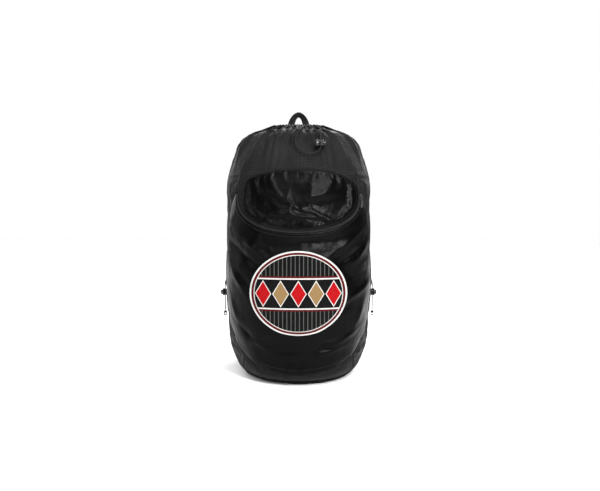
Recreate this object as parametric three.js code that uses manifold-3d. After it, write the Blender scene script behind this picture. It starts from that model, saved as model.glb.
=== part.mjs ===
// Drawstring baseball backpack: mesh body, satin side panels, front zip pocket, padded straps.
// Millimetres, +Z up. The front faces -Y, and the origin is on the floor under the middle of the base.
// Depth is counted from the back plane towards the front, so a point behind the back has a depth below 0.
import * as THREE from 'three';
import { mergeVertices } from 'three/addons/utils/BufferGeometryUtils.js';
import Module from 'manifold-3d';

const wasm = await Module();
wasm.setup();

// Driving dimensions
const BACK_Y = 140;
const CLOTH = 1.6;
const BACK_PAD = 9;
const SEAM_GAP = 0.3;
const LIFT = 0.4;
const POCKET_STAND = 1.3;
const RIBBON_LIFT = 1.4;
const BASE_RIM = 8;
const COLLAR_LOW = 572;
const MOUTH_Z = 597;
const GATHERS = 16;
const WEB_HALF = 12.5;
const WEB_THICK = 1.5;
const CORD_RADIUS = 1.6;
const CORD_SIDES = 8;

// Levels of the shell: height, half width, depth of the back, of the widest place and of the front,
// and how square the back corners and how full the front are.
const LEVELS = [
  { z: 0, half: 120, back: 12, wide: 75, front: 214, corner: 5, fullness: 2.1 },
  { z: 3, half: 130, back: 4, wide: 78, front: 234, corner: 6, fullness: 2.1 },
  { z: 10, half: 137, back: 1, wide: 80, front: 257, corner: 7, fullness: 2.1 },
  { z: 32, half: 149, back: 0, wide: 88, front: 279, corner: 8, fullness: 2.2 },
  { z: 50, half: 155, back: 0, wide: 96, front: 276, corner: 8, fullness: 2.2 },
  { z: 72, half: 161, back: 0, wide: 105, front: 270, corner: 8, fullness: 2.3 },
  { z: 100, half: 165, back: 0, wide: 110, front: 266, corner: 8, fullness: 2.3 },
  { z: 200, half: 171, back: 0, wide: 110, front: 268, corner: 8, fullness: 2.3 },
  { z: 300, half: 173, back: 0, wide: 110, front: 268, corner: 8, fullness: 2.3 },
  { z: 430, half: 172, back: 0, wide: 110, front: 266, corner: 8, fullness: 2.3 },
  { z: 470, half: 168, back: 0, wide: 110, front: 261, corner: 8, fullness: 2.3 },
  { z: 485, half: 165, back: 0, wide: 108, front: 253, corner: 8, fullness: 2.3 },
  { z: 514, half: 156, back: 0, wide: 102, front: 234, corner: 7, fullness: 2.3 },
  { z: 542, half: 145, back: 1, wide: 92, front: 210, corner: 5, fullness: 2.3 },
  { z: 557, half: 134, back: 2, wide: 84, front: 196, corner: 4, fullness: 2.3 },
  { z: 571, half: 117, back: 3, wide: 74, front: 176, corner: 3.4, fullness: 2.2 },
  { z: 581, half: 96, back: 5, wide: 65, front: 143, corner: 3, fullness: 2.2 },
  { z: 588, half: 78, back: 8, wide: 58, front: 119, corner: 2.6, fullness: 2.2 },
  { z: MOUTH_Z, half: 60, back: 12, wide: 54, front: 100, corner: 2.4, fullness: 2.2 },
];
// How far the gathers stand in and out, by height
const GATHER_DEPTH = [
  { z: 470, depth: 0 },
  { z: 520, depth: 1.6 },
  { z: 557, depth: 4 },
  { z: 588, depth: 7 },
  { z: MOUTH_Z, depth: 5 },
];
const GATHER_START = 0.2;
const GATHER_FULL = 0.34;

// Heights that all the upright panels share, so that their seams match
const PANEL_ROWS = [8.3, 20, 38, 72, 140, 300, 440, 485, 510, 530, 548, 562, 571.4];
const COLLAR_ROWS = [COLLAR_LOW + 2 * SEAM_GAP, 580, 588, MOUTH_Z];

// Seams of the shell, as real places on the back and side
const BACK_SEAM_X = 98;
const WING_SEAM_X = 123;
const SIDE_SEAM_DEPTH = 72;
const SEAM_TURN_Z = 505;
const BAND_SEAM_X = 138;
const BAND_SEAM_Z = 50;
const BAND_TOP = 58;

// Front pocket: outline below the zip, as one half from the bottom centre to the end of the zip
const POCKET_EDGE = [
  [0, 32], [34, 35], [77, 44], [119, 70], [138, 100],
  [151, 141], [157, 206], [155, 313], [149, 372], [142, 404],
];
const ZIP_END = { x: 129, z: 428 };
const ZIP_MID_Z = 341;
const LID = { half: 123, z: 431, up: 47, down: 84, power: 2.3 };
// Fullness of the pocket over the shell, and its half width, by height
const POCKET_FORM = [
  { z: 30, bulge: 0.3, half: 60 },
  { z: 45, bulge: 2, half: 95 },
  { z: 58, bulge: 4, half: 112 },
  { z: 96, bulge: 15, half: 140 },
  { z: 142, bulge: 25, half: 155 },
  { z: 226, bulge: 31, half: 161 },
  { z: 307, bulge: 28, half: 159 },
  { z: 379, bulge: 27, half: 152 },
  { z: 427, bulge: 23, half: 140 },
  { z: 450, bulge: 20, half: 128 },
  { z: 466, bulge: 13, half: 104 },
  { z: 476, bulge: 5, half: 72 },
  { z: 483, bulge: 0.5, half: 40 },
];
// Main folds of the satin pocket: middle, direction, half length, half width and height
const POCKET_FOLDS = [
  { x: -95, z: 300, turn: 62, long: 70, across: 14, high: 4 },
  { x: 92, z: 262, turn: 118, long: 80, across: 16, high: -5 },
  { x: -60, z: 120, turn: 20, long: 60, across: 13, high: 4 },
  { x: 70, z: 110, turn: 158, long: 64, across: 14, high: 4 },
  { x: 20, z: 322, turn: 8, long: 80, across: 12, high: -3 },
  { x: -40, z: 420, turn: 150, long: 46, across: 11, high: -4 },
  { x: 48, z: 428, turn: 12, long: 50, across: 12, high: 4 },
];

// Straps: distance behind the back plane, height and place across along the middle line. The webbing and its
// free end go on from the ladder lock.
const STRAP_THICK = 12;
const STRAPS = {
  left: {
    side: -1,
    path: [
      { behind: 1.5, z: 571, x: 67 },
      { behind: 46, z: 571, x: 67 },
      { behind: 80, z: 555, x: 67 },
      { behind: 107, z: 529, x: 67 },
      { behind: 121, z: 495, x: 66 },
      { behind: 124, z: 450, x: 65 },
      { behind: 121, z: 400, x: 64 },
      { behind: 110, z: 345, x: 63 },
      { behind: 93, z: 285, x: 63 },
      { behind: 72, z: 225, x: 64 },
    ],
    buckle: { behind: 67, z: 196, x: 66, lean: 18, roll: 8 },
    web: [{ behind: 36, z: 142, x: 79 }, { behind: 14, z: 118, x: 90 }, { behind: 5, z: 109, x: 95 }],
    tail: [
      { behind: 49, z: 150, x: 73 }, { behind: 52, z: 125, x: 76 }, { behind: 49, z: 97, x: 81 },
      { behind: 40, z: 62, x: 88 }, { behind: 26, z: 28, x: 95 },
    ],
  },
  right: {
    side: 1,
    path: [
      { behind: 1.5, z: 571, x: 67 },
      { behind: 16, z: 567, x: 67 },
      { behind: 38, z: 545, x: 67 },
      { behind: 55, z: 511, x: 67 },
      { behind: 64, z: 470, x: 66 },
      { behind: 66, z: 425, x: 65 },
      { behind: 62, z: 378, x: 64 },
      { behind: 51, z: 328, x: 63 },
      { behind: 36, z: 275, x: 63 },
      { behind: 19, z: 214, x: 64 },
    ],
    buckle: { behind: 18.5, z: 184, x: 66, lean: 8, roll: 8 },
    web: [{ behind: 8, z: 142, x: 77 }, { behind: 6, z: 120, x: 88 }, { behind: 5, z: 109, x: 95 }],
    tail: [
      { behind: 14, z: 142, x: 73 }, { behind: 14.5, z: 120, x: 77 }, { behind: 14, z: 95, x: 82 },
      { behind: 11, z: 62, x: 89 }, { behind: 6, z: 28, x: 96 },
    ],
  },
};
const STRIPE_HALF = 3.3;
const STRIPE_THICK = 0.8;

// Ladder lock: plate with three slots between its bars
const LADDER = { half: 17, high: 25.5, thick: 4, corner: 6, slotHalf: 13.6 };
const LADDER_SLOTS = [{ low: -20, high: -13 }, { low: -8, high: -1 }, { low: 4, high: 11 }];

// Side pockets: height range, how far the mouth stands off, and where the seams are
const SIDE_POCKET = {
  low: 10, hem: 196, top: 216, flare: 42, aside: 0.4, peak: 0.62, stand: 2.4, frontDepth: 78, backX: 119,
};
const SIDE_POCKET_ROWS = [SIDE_POCKET.low, 40, 75, 110, 145, 175, SIDE_POCKET.hem];
const HEM_ROWS = [SIDE_POCKET.hem + 2 * SEAM_GAP, SIDE_POCKET.top];
const ANCHOR = { low: 79, high: 104, nearX: 90, farX: 146 };
const SIDE_WEB = { low: 152, high: 177, nearDepth: 80, farX: 157 };
const SIDE_STRIPE = { low: 196, high: 569, nearDepth: 32, farDepth: 42 };

// Cord lock with a sprung button, drawn with the cord along Z and the button towards +X
const LOCK = { back: -12, front: 6, radius: 8.6, rim: 9.6, bore: 6.3, boreEnd: -9, hole: 2.7 };
const BUTTON = { back: -4.4, front: 11, radius: 6, slotBack: -2.2, slotFront: 6.6, slotHalf: 2.6 };
const POCKET_LOCK = { x: 194, behindHem: 4, z: 174 };
const DRAW_LOCK = { x: 50, z: 531, off: 11.5 };

const V = (x, y, z) => new THREE.Vector3(x, y, z);
const at = (x, depth, z) => V(x, BACK_Y - depth, z);
const clamp = THREE.MathUtils.clamp;
const rad = THREE.MathUtils.degToRad;

// A smooth curve through the rows of a table, which never overshoots them
function smooth(rows, by, column, value) {
  const last = rows.length - 1;
  if (value <= rows[0][by]) return rows[0][column];
  if (value >= rows[last][by]) return rows[last][column];
  let i = 0;
  while (rows[i + 1][by] < value) i += 1;
  const step = (k) => rows[k + 1][by] - rows[k][by];
  const rise = (k) => (rows[k + 1][column] - rows[k][column]) / step(k);
  const slope = (k) => {
    if (k === 0) return rise(0);
    if (k === last) return rise(last - 1);
    const product = rise(k - 1) * rise(k);
    return product <= 0 ? 0 : (2 * product) / (rise(k - 1) + rise(k));
  };
  const t = (value - rows[i][by]) / step(i);
  const near = rows[i][column] * (1 + 2 * t) * (1 - t) ** 2 + slope(i) * step(i) * t * (1 - t) ** 2;
  const far = rows[i + 1][column] * t * t * (3 - 2 * t) - slope(i + 1) * step(i) * t * t * (1 - t);
  return near + far;
}

// Half loop of the shell at one height, from the back centre to the front centre, with its running length
const RING_STEPS = 120;
const rings = new Map();
function ring(z) {
  if (rings.has(z)) return rings.get(z);
  const level = {};
  for (const column of ['half', 'back', 'wide', 'front', 'corner', 'fullness']) {
    level[column] = smooth(LEVELS, 'z', column, z);
  }
  const points = [];
  for (let i = 0; i <= 2 * RING_STEPS; i += 1) {
    const front = i > RING_STEPS;
    const turn = ((front ? i - RING_STEPS : i) / RING_STEPS) * (Math.PI / 2);
    const power = 2 / (front ? level.fullness : level.corner);
    const along = Math.max(Math.sin(turn), 0) ** power;
    const across = Math.max(Math.cos(turn), 0) ** power;
    const x = level.half * (front ? across : along);
    const depth = front
      ? level.wide + (level.front - level.wide) * along
      : level.wide - (level.wide - level.back) * across;
    const before = points[i - 1];
    const run = before ? before.run + Math.hypot(x - before.x, depth - before.depth) : 0;
    points.push({ x, depth, run });
  }
  const found = { points, length: points[points.length - 1].run, level };
  rings.set(z, found);
  return found;
}

// Point of the plain shell: q runs from 0 at the back centre over the +X side to 1 at the front centre,
// and on from there to 2 at the back again
function ringPoint(q, z) {
  const wrapped = ((((q + 1) % 2) + 2) % 2) - 1;
  const { points, length } = ring(z);
  const run = Math.min(Math.abs(wrapped), 1) * length;
  let i = 0;
  while (i < points.length - 2 && points[i + 1].run < run) i += 1;
  const [a, b] = [points[i], points[i + 1]];
  const t = b.run > a.run ? (run - a.run) / (b.run - a.run) : 0;
  return at(Math.sign(wrapped) * (a.x + (b.x - a.x) * t), a.depth + (b.depth - a.depth) * t, z);
}

// Point of the shell with the gathers that the drawcord pulls up round the mouth
function shellPoint(q, z) {
  const point = ringPoint(q, z);
  const wrapped = Math.abs(((((q + 1) % 2) + 2) % 2) - 1);
  const fade = THREE.MathUtils.smoothstep(wrapped, GATHER_START, GATHER_FULL);
  const high = smooth(GATHER_DEPTH, 'z', 'depth', z) * fade;
  if (high === 0) return point;
  const step = 0.004;
  const along = ringPoint(q + step, z).sub(ringPoint(q - step, z)).normalize();
  const out = V(-along.y, along.x, 0);
  const wave = Math.cos(Math.PI * GATHERS * q + 0.7 * Math.sin(5 * Math.PI * q));
  return point.addScaledVector(out, wave * high);
}

function shellNormal(q, z) {
  const [dq, dz] = [0.003, 0.5];
  const low = Math.max(z - dz, 0);
  const high = Math.min(z + dz, MOUTH_Z);
  const along = shellPoint(q + dq, z).sub(shellPoint(q - dq, z));
  const up = shellPoint(q, high).sub(shellPoint(q, low));
  return up.cross(along).normalize();
}

const offShell = (q, z, off) => shellPoint(q, z).addScaledVector(shellNormal(q, z), off);

// The q where a measure that grows along the half loop, from a start, reaches a value
function findQ(z, start, measure, value) {
  const { points, length } = ring(z);
  let i = start;
  while (i < points.length - 2 && measure(points[i + 1]) < value) i += 1;
  const [a, b] = [points[i], points[i + 1]];
  const t = clamp((value - measure(a)) / (measure(b) - measure(a)), 0, 1);
  return (a.run + (b.run - a.run) * t) / length;
}
const qAtBackX = (x, z) => findQ(Math.min(z, SEAM_TURN_Z), 0, (p) => p.x, x);
const qAtDepth = (depth, z) => findQ(Math.min(z, SEAM_TURN_Z), 0, (p) => p.depth, depth);
const qAtFrontX = (x, z) => findQ(z, RING_STEPS, (p) => -p.x, -x);

// Front of the shell over a place in the front view
function frontPoint(x, z) {
  const { level } = ring(z);
  const across = clamp(Math.abs(x) / level.half, 0, 1);
  const reach = (1 - across ** level.fullness) ** (1 / level.fullness);
  return at(x, level.wide + (level.front - level.wide) * reach, z);
}

function frontNormal(x, z) {
  const step = 0.6;
  const across = frontPoint(x + step, z).sub(frontPoint(x - step, z));
  const up = frontPoint(x, z + step).sub(frontPoint(x, z - step));
  return across.cross(up).normalize();
}

// Height of the pocket's cloth over the shell, with its folds
function pocketLift(x, z) {
  const half = smooth(POCKET_FORM, 'z', 'half', z);
  const inside = Math.max(1 - Math.min(Math.abs(x) / half, 1) ** 4, 0) ** 0.7;
  const crown = smooth(POCKET_FORM, 'z', 'bulge', z) * inside;
  let fold = 0;
  for (const row of POCKET_FOLDS) {
    const [c, s] = [Math.cos(rad(row.turn)), Math.sin(rad(row.turn))];
    const along = ((x - row.x) * c + (z - row.z) * s) / row.long;
    const across = ((z - row.z) * c - (x - row.x) * s) / row.across;
    fold += row.high * Math.exp(-along * along - across * across);
  }
  return POCKET_STAND + CLOTH + Math.max(crown + fold * clamp(crown / 12, 0, 1), 0);
}

const offFront = (x, z, off) => frontPoint(x, z).addScaledVector(frontNormal(x, z), off);

// Closed solid from points and triangles, turned so that its faces point out
function solid(points, triangles) {
  let volume = 0;
  for (const [a, b, c] of triangles) {
    volume += points[a].dot(points[b].clone().cross(points[c]));
  }
  const turned = volume < 0 ? triangles.map(([a, b, c]) => [a, c, b]) : triangles;
  const geometry = new THREE.BufferGeometry();
  geometry.setAttribute('position', new THREE.Float32BufferAttribute(points.flatMap((p) => p.toArray()), 3));
  geometry.setIndex(turned.flat());
  geometry.computeVertexNormals();
  return geometry;
}

// Cloth wall: a grid of points on its outer face and one on its inner face, joined along the edges.
// A wall that goes all round joins its last column to its first.
function wall(columns, rows, outer, inner, round = false) {
  const points = [];
  const triangles = [];
  const index = (i, j, face) => face * columns * rows + j * columns + (i % columns);
  for (const face of [outer, inner]) {
    for (let j = 0; j < rows; j += 1) {
      for (let i = 0; i < columns; i += 1) points.push(face(i, j));
    }
  }
  const quad = (a, b, c, d) => triangles.push([a, b, c], [a, c, d]);
  const spans = round ? columns : columns - 1;
  for (let i = 0; i < spans; i += 1) {
    for (let j = 0; j < rows - 1; j += 1) {
      quad(index(i, j, 0), index(i + 1, j, 0), index(i + 1, j + 1, 0), index(i, j + 1, 0));
      quad(index(i, j, 1), index(i, j + 1, 1), index(i + 1, j + 1, 1), index(i + 1, j, 1));
    }
    const top = rows - 1;
    quad(index(i + 1, 0, 0), index(i, 0, 0), index(i, 0, 1), index(i + 1, 0, 1));
    quad(index(i, top, 0), index(i + 1, top, 0), index(i + 1, top, 1), index(i, top, 1));
  }
  for (let j = 0; j < rows - 1 && !round; j += 1) {
    const right = columns - 1;
    quad(index(0, j, 0), index(0, j + 1, 0), index(0, j + 1, 1), index(0, j, 1));
    quad(index(right, j + 1, 0), index(right, j, 0), index(right, j, 1), index(right, j + 1, 1));
  }
  return solid(points, triangles);
}

// Panel of the shell between two seams, each a q that may change with height. Its lower and upper edges
// may change with q, and it may lie on another surface than the shell.
function shellPanel(options) {
  const { from, to, columns, rows, thick = CLOTH, off = 0 } = options;
  const { bottom = null, top = null, surface = null } = options;
  const first = rows[0];
  const last = rows[rows.length - 1];
  const place = (i, j) => {
    const q = THREE.MathUtils.lerp(from(rows[j]), to(rows[j]), i / (columns - 1));
    const low = bottom ? bottom(q) : first;
    const high = top ? top(q) : last;
    return [q, low + ((rows[j] - first) / (last - first)) * (high - low)];
  };
  const face = (inset) => (i, j) => {
    const [q, z] = place(i, j);
    return surface ? surface(q, z, inset) : offShell(q, z, off - inset);
  };
  return wall(columns, rows.length, face(0), face(thick));
}

// Disc of cloth: rings of points round a centre, outer face and inner face
function disc(columns, ringCount, outer, inner) {
  const points = [outer(0, 0), inner(0, 0)];
  const triangles = [];
  const index = (i, j, face) => 2 + ((j - 1) * 2 + face) * columns + (i % columns);
  for (let j = 1; j <= ringCount; j += 1) {
    for (const face of [outer, inner]) {
      for (let i = 0; i < columns; i += 1) points.push(face(i, j));
    }
  }
  const quad = (a, b, c, d) => triangles.push([a, b, c], [a, c, d]);
  for (let i = 0; i < columns; i += 1) {
    triangles.push([0, index(i, 1, 0), index(i + 1, 1, 0)], [1, index(i + 1, 1, 1), index(i, 1, 1)]);
    for (let j = 1; j < ringCount; j += 1) {
      quad(index(i, j, 0), index(i, j + 1, 0), index(i + 1, j + 1, 0), index(i + 1, j, 0));
      quad(index(i, j, 1), index(i + 1, j, 1), index(i + 1, j + 1, 1), index(i, j + 1, 1));
    }
    const last = ringCount;
    quad(index(i, last, 0), index(i, last, 1), index(i + 1, last, 1), index(i + 1, last, 0));
  }
  return solid(points, triangles);
}

const FLAT_SECTION = [[-1, -1], [1, -1], [1, 1], [-1, 1]];
const PADDED_SECTION = [
  [-1, -0.35], [-0.86, -1], [0, -1], [0.86, -1], [1, -0.35],
  [1, 0.35], [0.86, 1], [0, 1], [-0.86, 1], [-1, 0.35],
];

// Band swept along stations, each a middle point with a half-width and a half-thickness vector
function sweep(stations, section) {
  const points = [];
  const triangles = [];
  const sides = section.length;
  for (const { middle, across, out } of stations) {
    for (const [u, v] of section) {
      points.push(middle.clone().addScaledVector(across, u).addScaledVector(out, v));
    }
  }
  const last = (stations.length - 1) * sides;
  for (let k = 0; k < stations.length - 1; k += 1) {
    for (let i = 0; i < sides; i += 1) {
      const [a, b] = [k * sides + i, k * sides + ((i + 1) % sides)];
      triangles.push([a, b, b + sides], [a, b + sides, a + sides]);
    }
  }
  for (let i = 1; i < sides - 1; i += 1) {
    triangles.push([0, i + 1, i], [last, last + i, last + i + 1]);
  }
  return solid(points, triangles);
}

// Stations along a smooth curve, whose width direction and half width may change on the way
function stationsAlong(points, count, acrossAt, halfAt, halfThick) {
  const curve = new THREE.CatmullRomCurve3(points, false, 'centripetal');
  const stations = [];
  for (let k = 0; k <= count; k += 1) {
    const u = k / count;
    const along = curve.getTangentAt(u);
    const across = acrossAt(u, along).clone();
    across.addScaledVector(along, -across.dot(along)).normalize();
    const out = along.clone().cross(across).normalize().multiplyScalar(halfThick);
    stations.push({ middle: curve.getPointAt(u), across: across.multiplyScalar(halfAt(u)), out });
  }
  return stations;
}

// Round cord along points
function cord(points, steps) {
  const outline = new THREE.Shape();
  for (let i = 0; i < CORD_SIDES; i += 1) {
    const turn = (i / CORD_SIDES) * 2 * Math.PI;
    const [x, y] = [CORD_RADIUS * Math.cos(turn), CORD_RADIUS * Math.sin(turn)];
    if (i === 0) outline.moveTo(x, y);
    else outline.lineTo(x, y);
  }
  const extrudePath = new THREE.CatmullRomCurve3(points, false, 'centripetal');
  return new THREE.ExtrudeGeometry(outline, { steps, extrudePath });
}

function toManifold(geometry) {
  const bare = geometry.clone();
  bare.deleteAttribute('normal');
  bare.deleteAttribute('uv');
  const merged = mergeVertices(bare, 1e-4);
  const vertProperties = Float32Array.from(merged.attributes.position.array);
  const triVerts = Uint32Array.from(merged.index.array);
  return new wasm.Manifold(new wasm.Mesh({ numProp: 3, vertProperties, triVerts }));
}

function fromManifold(manifold) {
  const mesh = manifold.getMesh();
  const geometry = new THREE.BufferGeometry();
  geometry.setAttribute('position', new THREE.BufferAttribute(Float32Array.from(mesh.vertProperties), 3));
  geometry.setIndex(new THREE.BufferAttribute(Uint32Array.from(mesh.triVerts), 1));
  geometry.computeVertexNormals();
  return geometry;
}

function rod(radius, from, to, sides = 10) {
  const geometry = new THREE.CylinderGeometry(radius, radius, to - from, sides);
  return geometry.rotateZ(-Math.PI / 2).translate((from + to) / 2, 0, 0);
}

function lockBarrel() {
  const { back, front, radius, rim } = LOCK;
  const profile = [
    [0, back], [radius - 2, back], [rim, back + 2], [rim, back + 4], [radius, back + 7],
    [radius, front - 5], [rim, front - 3], [rim, front], [0, front],
  ].map(([r, y]) => new THREE.Vector2(r, y));
  const body = toManifold(new THREE.LatheGeometry(profile, 10).rotateZ(-Math.PI / 2));
  const bore = toManifold(rod(LOCK.bore, LOCK.boreEnd, front + 2));
  const hole = new THREE.CylinderGeometry(LOCK.hole, LOCK.hole, 4 * radius, 8).rotateX(Math.PI / 2);
  return fromManifold(body.subtract(bore).subtract(toManifold(hole)));
}

function lockButton() {
  const { back, front, radius, slotBack, slotFront, slotHalf } = BUTTON;
  const profile = [
    [0, back], [radius, back], [radius, front - 1.5], [radius - 1.5, front], [0, front],
  ].map(([r, y]) => new THREE.Vector2(r, y));
  const body = toManifold(new THREE.LatheGeometry(profile, 10).rotateZ(-Math.PI / 2));
  const slot = new THREE.BoxGeometry(slotFront - slotBack, 2 * slotHalf, 4 * radius);
  return fromManifold(body.subtract(toManifold(slot.translate((slotBack + slotFront) / 2, 0, 0))));
}

// Overhand knot with the small loop of cord under it, drawn with its top at the origin
function knotWithLoop() {
  const knot = new THREE.SphereGeometry(4.6, 7, 4).scale(1.15, 1, 0.85).translate(0, 0, -3.8);
  const loop = new THREE.TorusGeometry(4.2, 1.5, 5, 8).rotateX(Math.PI / 2).translate(0, 0, -10.5);
  return fromManifold(toManifold(knot).add(toManifold(loop)));
}

function roundedPlate(half, high, corner) {
  const shape = new THREE.Shape();
  shape.moveTo(-half + corner, -high);
  shape.lineTo(half - corner, -high);
  shape.absarc(half - corner, -high + corner, corner, -Math.PI / 2, 0);
  shape.absarc(half - corner, high - corner, corner, 0, Math.PI / 2);
  shape.absarc(-half + corner, high - corner, corner, Math.PI / 2, Math.PI);
  shape.absarc(-half + corner, -high + corner, corner, Math.PI, 1.5 * Math.PI);
  return shape;
}

function flatPlate(shape, depth) {
  return new THREE.ExtrudeGeometry(shape, { depth, bevelEnabled: false, curveSegments: 3 });
}

function slotPath(half, low, high) {
  const path = new THREE.Path();
  path.moveTo(-half, low);
  path.lineTo(-half, high);
  path.lineTo(half, high);
  path.lineTo(half, low);
  path.lineTo(-half, low);
  return path;
}

// Ladder lock in its own plane: X across, Y down the strap, Z out
function ladderLock() {
  const plate = roundedPlate(LADDER.half, LADDER.high, LADDER.corner);
  for (const { low, high } of LADDER_SLOTS) plate.holes.push(slotPath(LADDER.slotHalf, low, high));
  return flatPlate(plate, LADDER.thick).translate(0, 0, -LADDER.thick / 2);
}

const INK = 0x101012;
const FINISH = {
  satin: { color: 0x17171a, roughness: 0.42, metalness: 0 },
  mesh: { color: 0x121214, roughness: 0.85, metalness: 0 },
  pad: { color: 0x2e2e30, roughness: 0.95, metalness: 0 },
  webbing: { color: INK, roughness: 0.8, metalness: 0 },
  ribbon: { color: 0xda0303, roughness: 0.55, metalness: 0 },
  heather: { color: 0x3a3a3d, roughness: 0.95, metalness: 0 },
  plastic: { color: 0x151517, roughness: 0.35, metalness: 0 },
  cord: { color: 0x0c0c0d, roughness: 0.8, metalness: 0 },
  metal: { color: 0x2a2a2c, roughness: 0.4, metalness: 0.8 },
};

const bag = new THREE.Group();
function piece(name, geometry, finish, parent = bag) {
  const mesh = new THREE.Mesh(geometry, new THREE.MeshStandardMaterial(FINISH[finish]));
  mesh.name = name;
  parent.add(mesh);
  return mesh;
}

// Seams as q by height, on the +X side, with a gap kept on each side
const seamGapQ = (z) => SEAM_GAP / ring(Math.min(z, MOUTH_Z)).length;
const backSeam = (z) => qAtBackX(BACK_SEAM_X, z);
const wingSeam = (z) => qAtBackX(WING_SEAM_X, z);
const sideSeam = (z) => qAtDepth(SIDE_SEAM_DEPTH, z);
const bandSeam = qAtFrontX(BAND_SEAM_X, BAND_SEAM_Z);

function backPanel() {
  const edge = (z) => backSeam(z) - seamGapQ(z);
  return shellPanel({ from: (z) => -edge(z), to: edge, columns: 5, rows: PANEL_ROWS, thick: BACK_PAD });
}

function between(side, near, far, columns, rows = PANEL_ROWS, off = 0, thick = CLOTH) {
  const from = (z) => side * (near(z) + seamGapQ(z));
  const to = (z) => side * (far(z) - seamGapQ(z));
  return shellPanel({ from, to, columns, rows, off, thick });
}

// The seam between the mesh wall and the band under the front pocket rises from the base at each front corner
const BAND_RISE = 0.07;
function bandSeamZ(q) {
  const share = clamp((1 - Math.abs(q - 1) - bandSeam) / BAND_RISE, 0, 1);
  return PANEL_ROWS[0] + (BAND_TOP - PANEL_ROWS[0]) * share;
}

// Mesh wall from side seam to side seam round the front
function meshBody() {
  const from = (z) => sideSeam(z) + seamGapQ(z);
  return shellPanel({ from, to: (z) => 2 - from(z), columns: 31, rows: PANEL_ROWS, bottom: bandSeamZ });
}

function frontBand() {
  const start = bandSeam + BAND_RISE * 0.2;
  return shellPanel({
    from: () => start,
    to: () => 2 - start,
    columns: 19,
    rows: [PANEL_ROWS[0], 22, 38, BAND_TOP],
    top: (q) => bandSeamZ(q) - 6 * SEAM_GAP,
  });
}

// Base: a rim that follows the shell, and a floor drawn in to its centre
const BASE_CENTRE = 110;
function bottomPanel() {
  const columns = 32;
  const rows = [
    { shrink: 0.5, z: 0 }, { shrink: 1, z: 0 }, { shrink: 1, z: 2.5 }, { shrink: 1, z: BASE_RIM - SEAM_GAP },
  ];
  const centre = at(0, BASE_CENTRE, 0);
  const face = (inset) => (i, j) => {
    if (j === 0) return centre.clone().setZ(inset);
    const { shrink, z } = rows[j - 1];
    const q = (2 * i) / columns;
    const point = shellPoint(q, z);
    if (z > 0) return point.addScaledVector(shellNormal(q, z), -inset);
    return centre.clone().lerp(point, shrink * (1 - (shrink === 1 ? inset * 0.004 : 0))).setZ(inset);
  };
  return disc(columns, rows.length, face(0), face(CLOTH));
}

// Gathered casing round the mouth, turned in at the top
function collar() {
  const columns = 64;
  const face = (inset) => (i, j) => {
    const q = (2 * i) / columns;
    return offShell(q, COLLAR_ROWS[j], -inset);
  };
  return wall(columns, COLLAR_ROWS.length, face(0), face(CLOTH), true);
}

// Pocket cloth between its outline and the zip
const pocketEdge = new THREE.CatmullRomCurve3(POCKET_EDGE.map(([x, z]) => V(x, 0, z)), false, 'centripetal');
const zipPlace = (a, up = 0) => {
  const x = ZIP_END.x * Math.sin((a * Math.PI) / 2);
  const drop = (1 - Math.abs(x / ZIP_END.x) ** LID.power) ** (1 / LID.power);
  return { x, z: ZIP_END.z - (ZIP_END.z - ZIP_MID_Z) * drop + up };
};
function pocketPanel() {
  const [columns, rows] = [21, 9];
  const place = (i, j) => {
    const a = (2 * i) / (columns - 1) - 1;
    const low = pocketEdge.getPointAt(Math.abs(a));
    const top = zipPlace(a);
    const t = j / (rows - 1);
    const x = Math.sign(a) * low.x;
    return [x + (top.x - x) * t, low.z + (top.z - low.z) * t];
  };
  const face = (inset) => (i, j) => {
    const [x, z] = place(i, j);
    return offFront(x, z, pocketLift(x, z) - inset);
  };
  return wall(columns, rows, face(0), face(CLOTH));
}

const lidRadius = (turn) => {
  const [c, s] = [Math.abs(Math.cos(turn)), Math.abs(Math.sin(turn))];
  return (c ** LID.power + s ** LID.power) ** (-1 / LID.power);
};
const lidPlace = (turn, share) => {
  const reach = share * lidRadius(turn);
  const rise = Math.sin(turn) > 0 ? LID.up : LID.down;
  return [LID.half * reach * Math.cos(turn), LID.z + rise * reach * Math.sin(turn)];
};
function pocketLid() {
  const [columns, ringCount] = [28, 4];
  const face = (inset) => (i, j) => {
    const [x, z] = lidPlace((2 * Math.PI * i) / columns, j / ringCount);
    return offFront(x, z, pocketLift(x, z) - inset);
  };
  return disc(columns, ringCount, face(0), face(CLOTH));
}

// Tape of the zip, just under the edges of the two cloths that it joins
function zipTape() {
  const columns = 25;
  const face = (inset) => (i, j) => {
    const a = (2 * i) / (columns - 1) - 1;
    const { x, z } = zipPlace(a * 0.97, j === 0 ? SEAM_GAP * 2 : 0);
    const turn = Math.atan2((z - LID.z) / LID.down, x / LID.half);
    const [lidX, lidZ] = lidPlace(turn > 0 ? -turn : turn, 1);
    const [px, pz] = j === 0 ? [x, z] : [lidX * 1.002, lidZ - SEAM_GAP * 2];
    return offFront(px, pz, pocketLift(px, pz) - CLOTH - LIFT - inset);
  };
  return wall(columns, 2, face(0), face(1));
}

// Slider at the end of the zip, drawn with X across, Y up the cloth and Z out of it
const SLIDER = { x: 126, z: 420, off: 1.2, half: 4, high: 5.5, thick: 2.2, eye: 1.4, pivot: 3.6 };
const PULL = { half: 3.6, length: 24, thick: 1.4, pin: 0.8, cheek: 2.4 };
function sliderGroup() {
  const group = new THREE.Group();
  const out = frontNormal(SLIDER.x, SLIDER.z);
  const up = V(0, 0, 1).addScaledVector(out, -out.z).normalize();
  group.position.copy(offFront(SLIDER.x, SLIDER.z, pocketLift(SLIDER.x, SLIDER.z) + SLIDER.off));
  group.setRotationFromMatrix(new THREE.Matrix4().makeBasis(up.clone().cross(out), up, out));
  bag.add(group);
  return group;
}

function block(across, along, high, x, y, z) {
  return toManifold(new THREE.BoxGeometry(across, along, high).translate(x, y, z));
}

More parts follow.
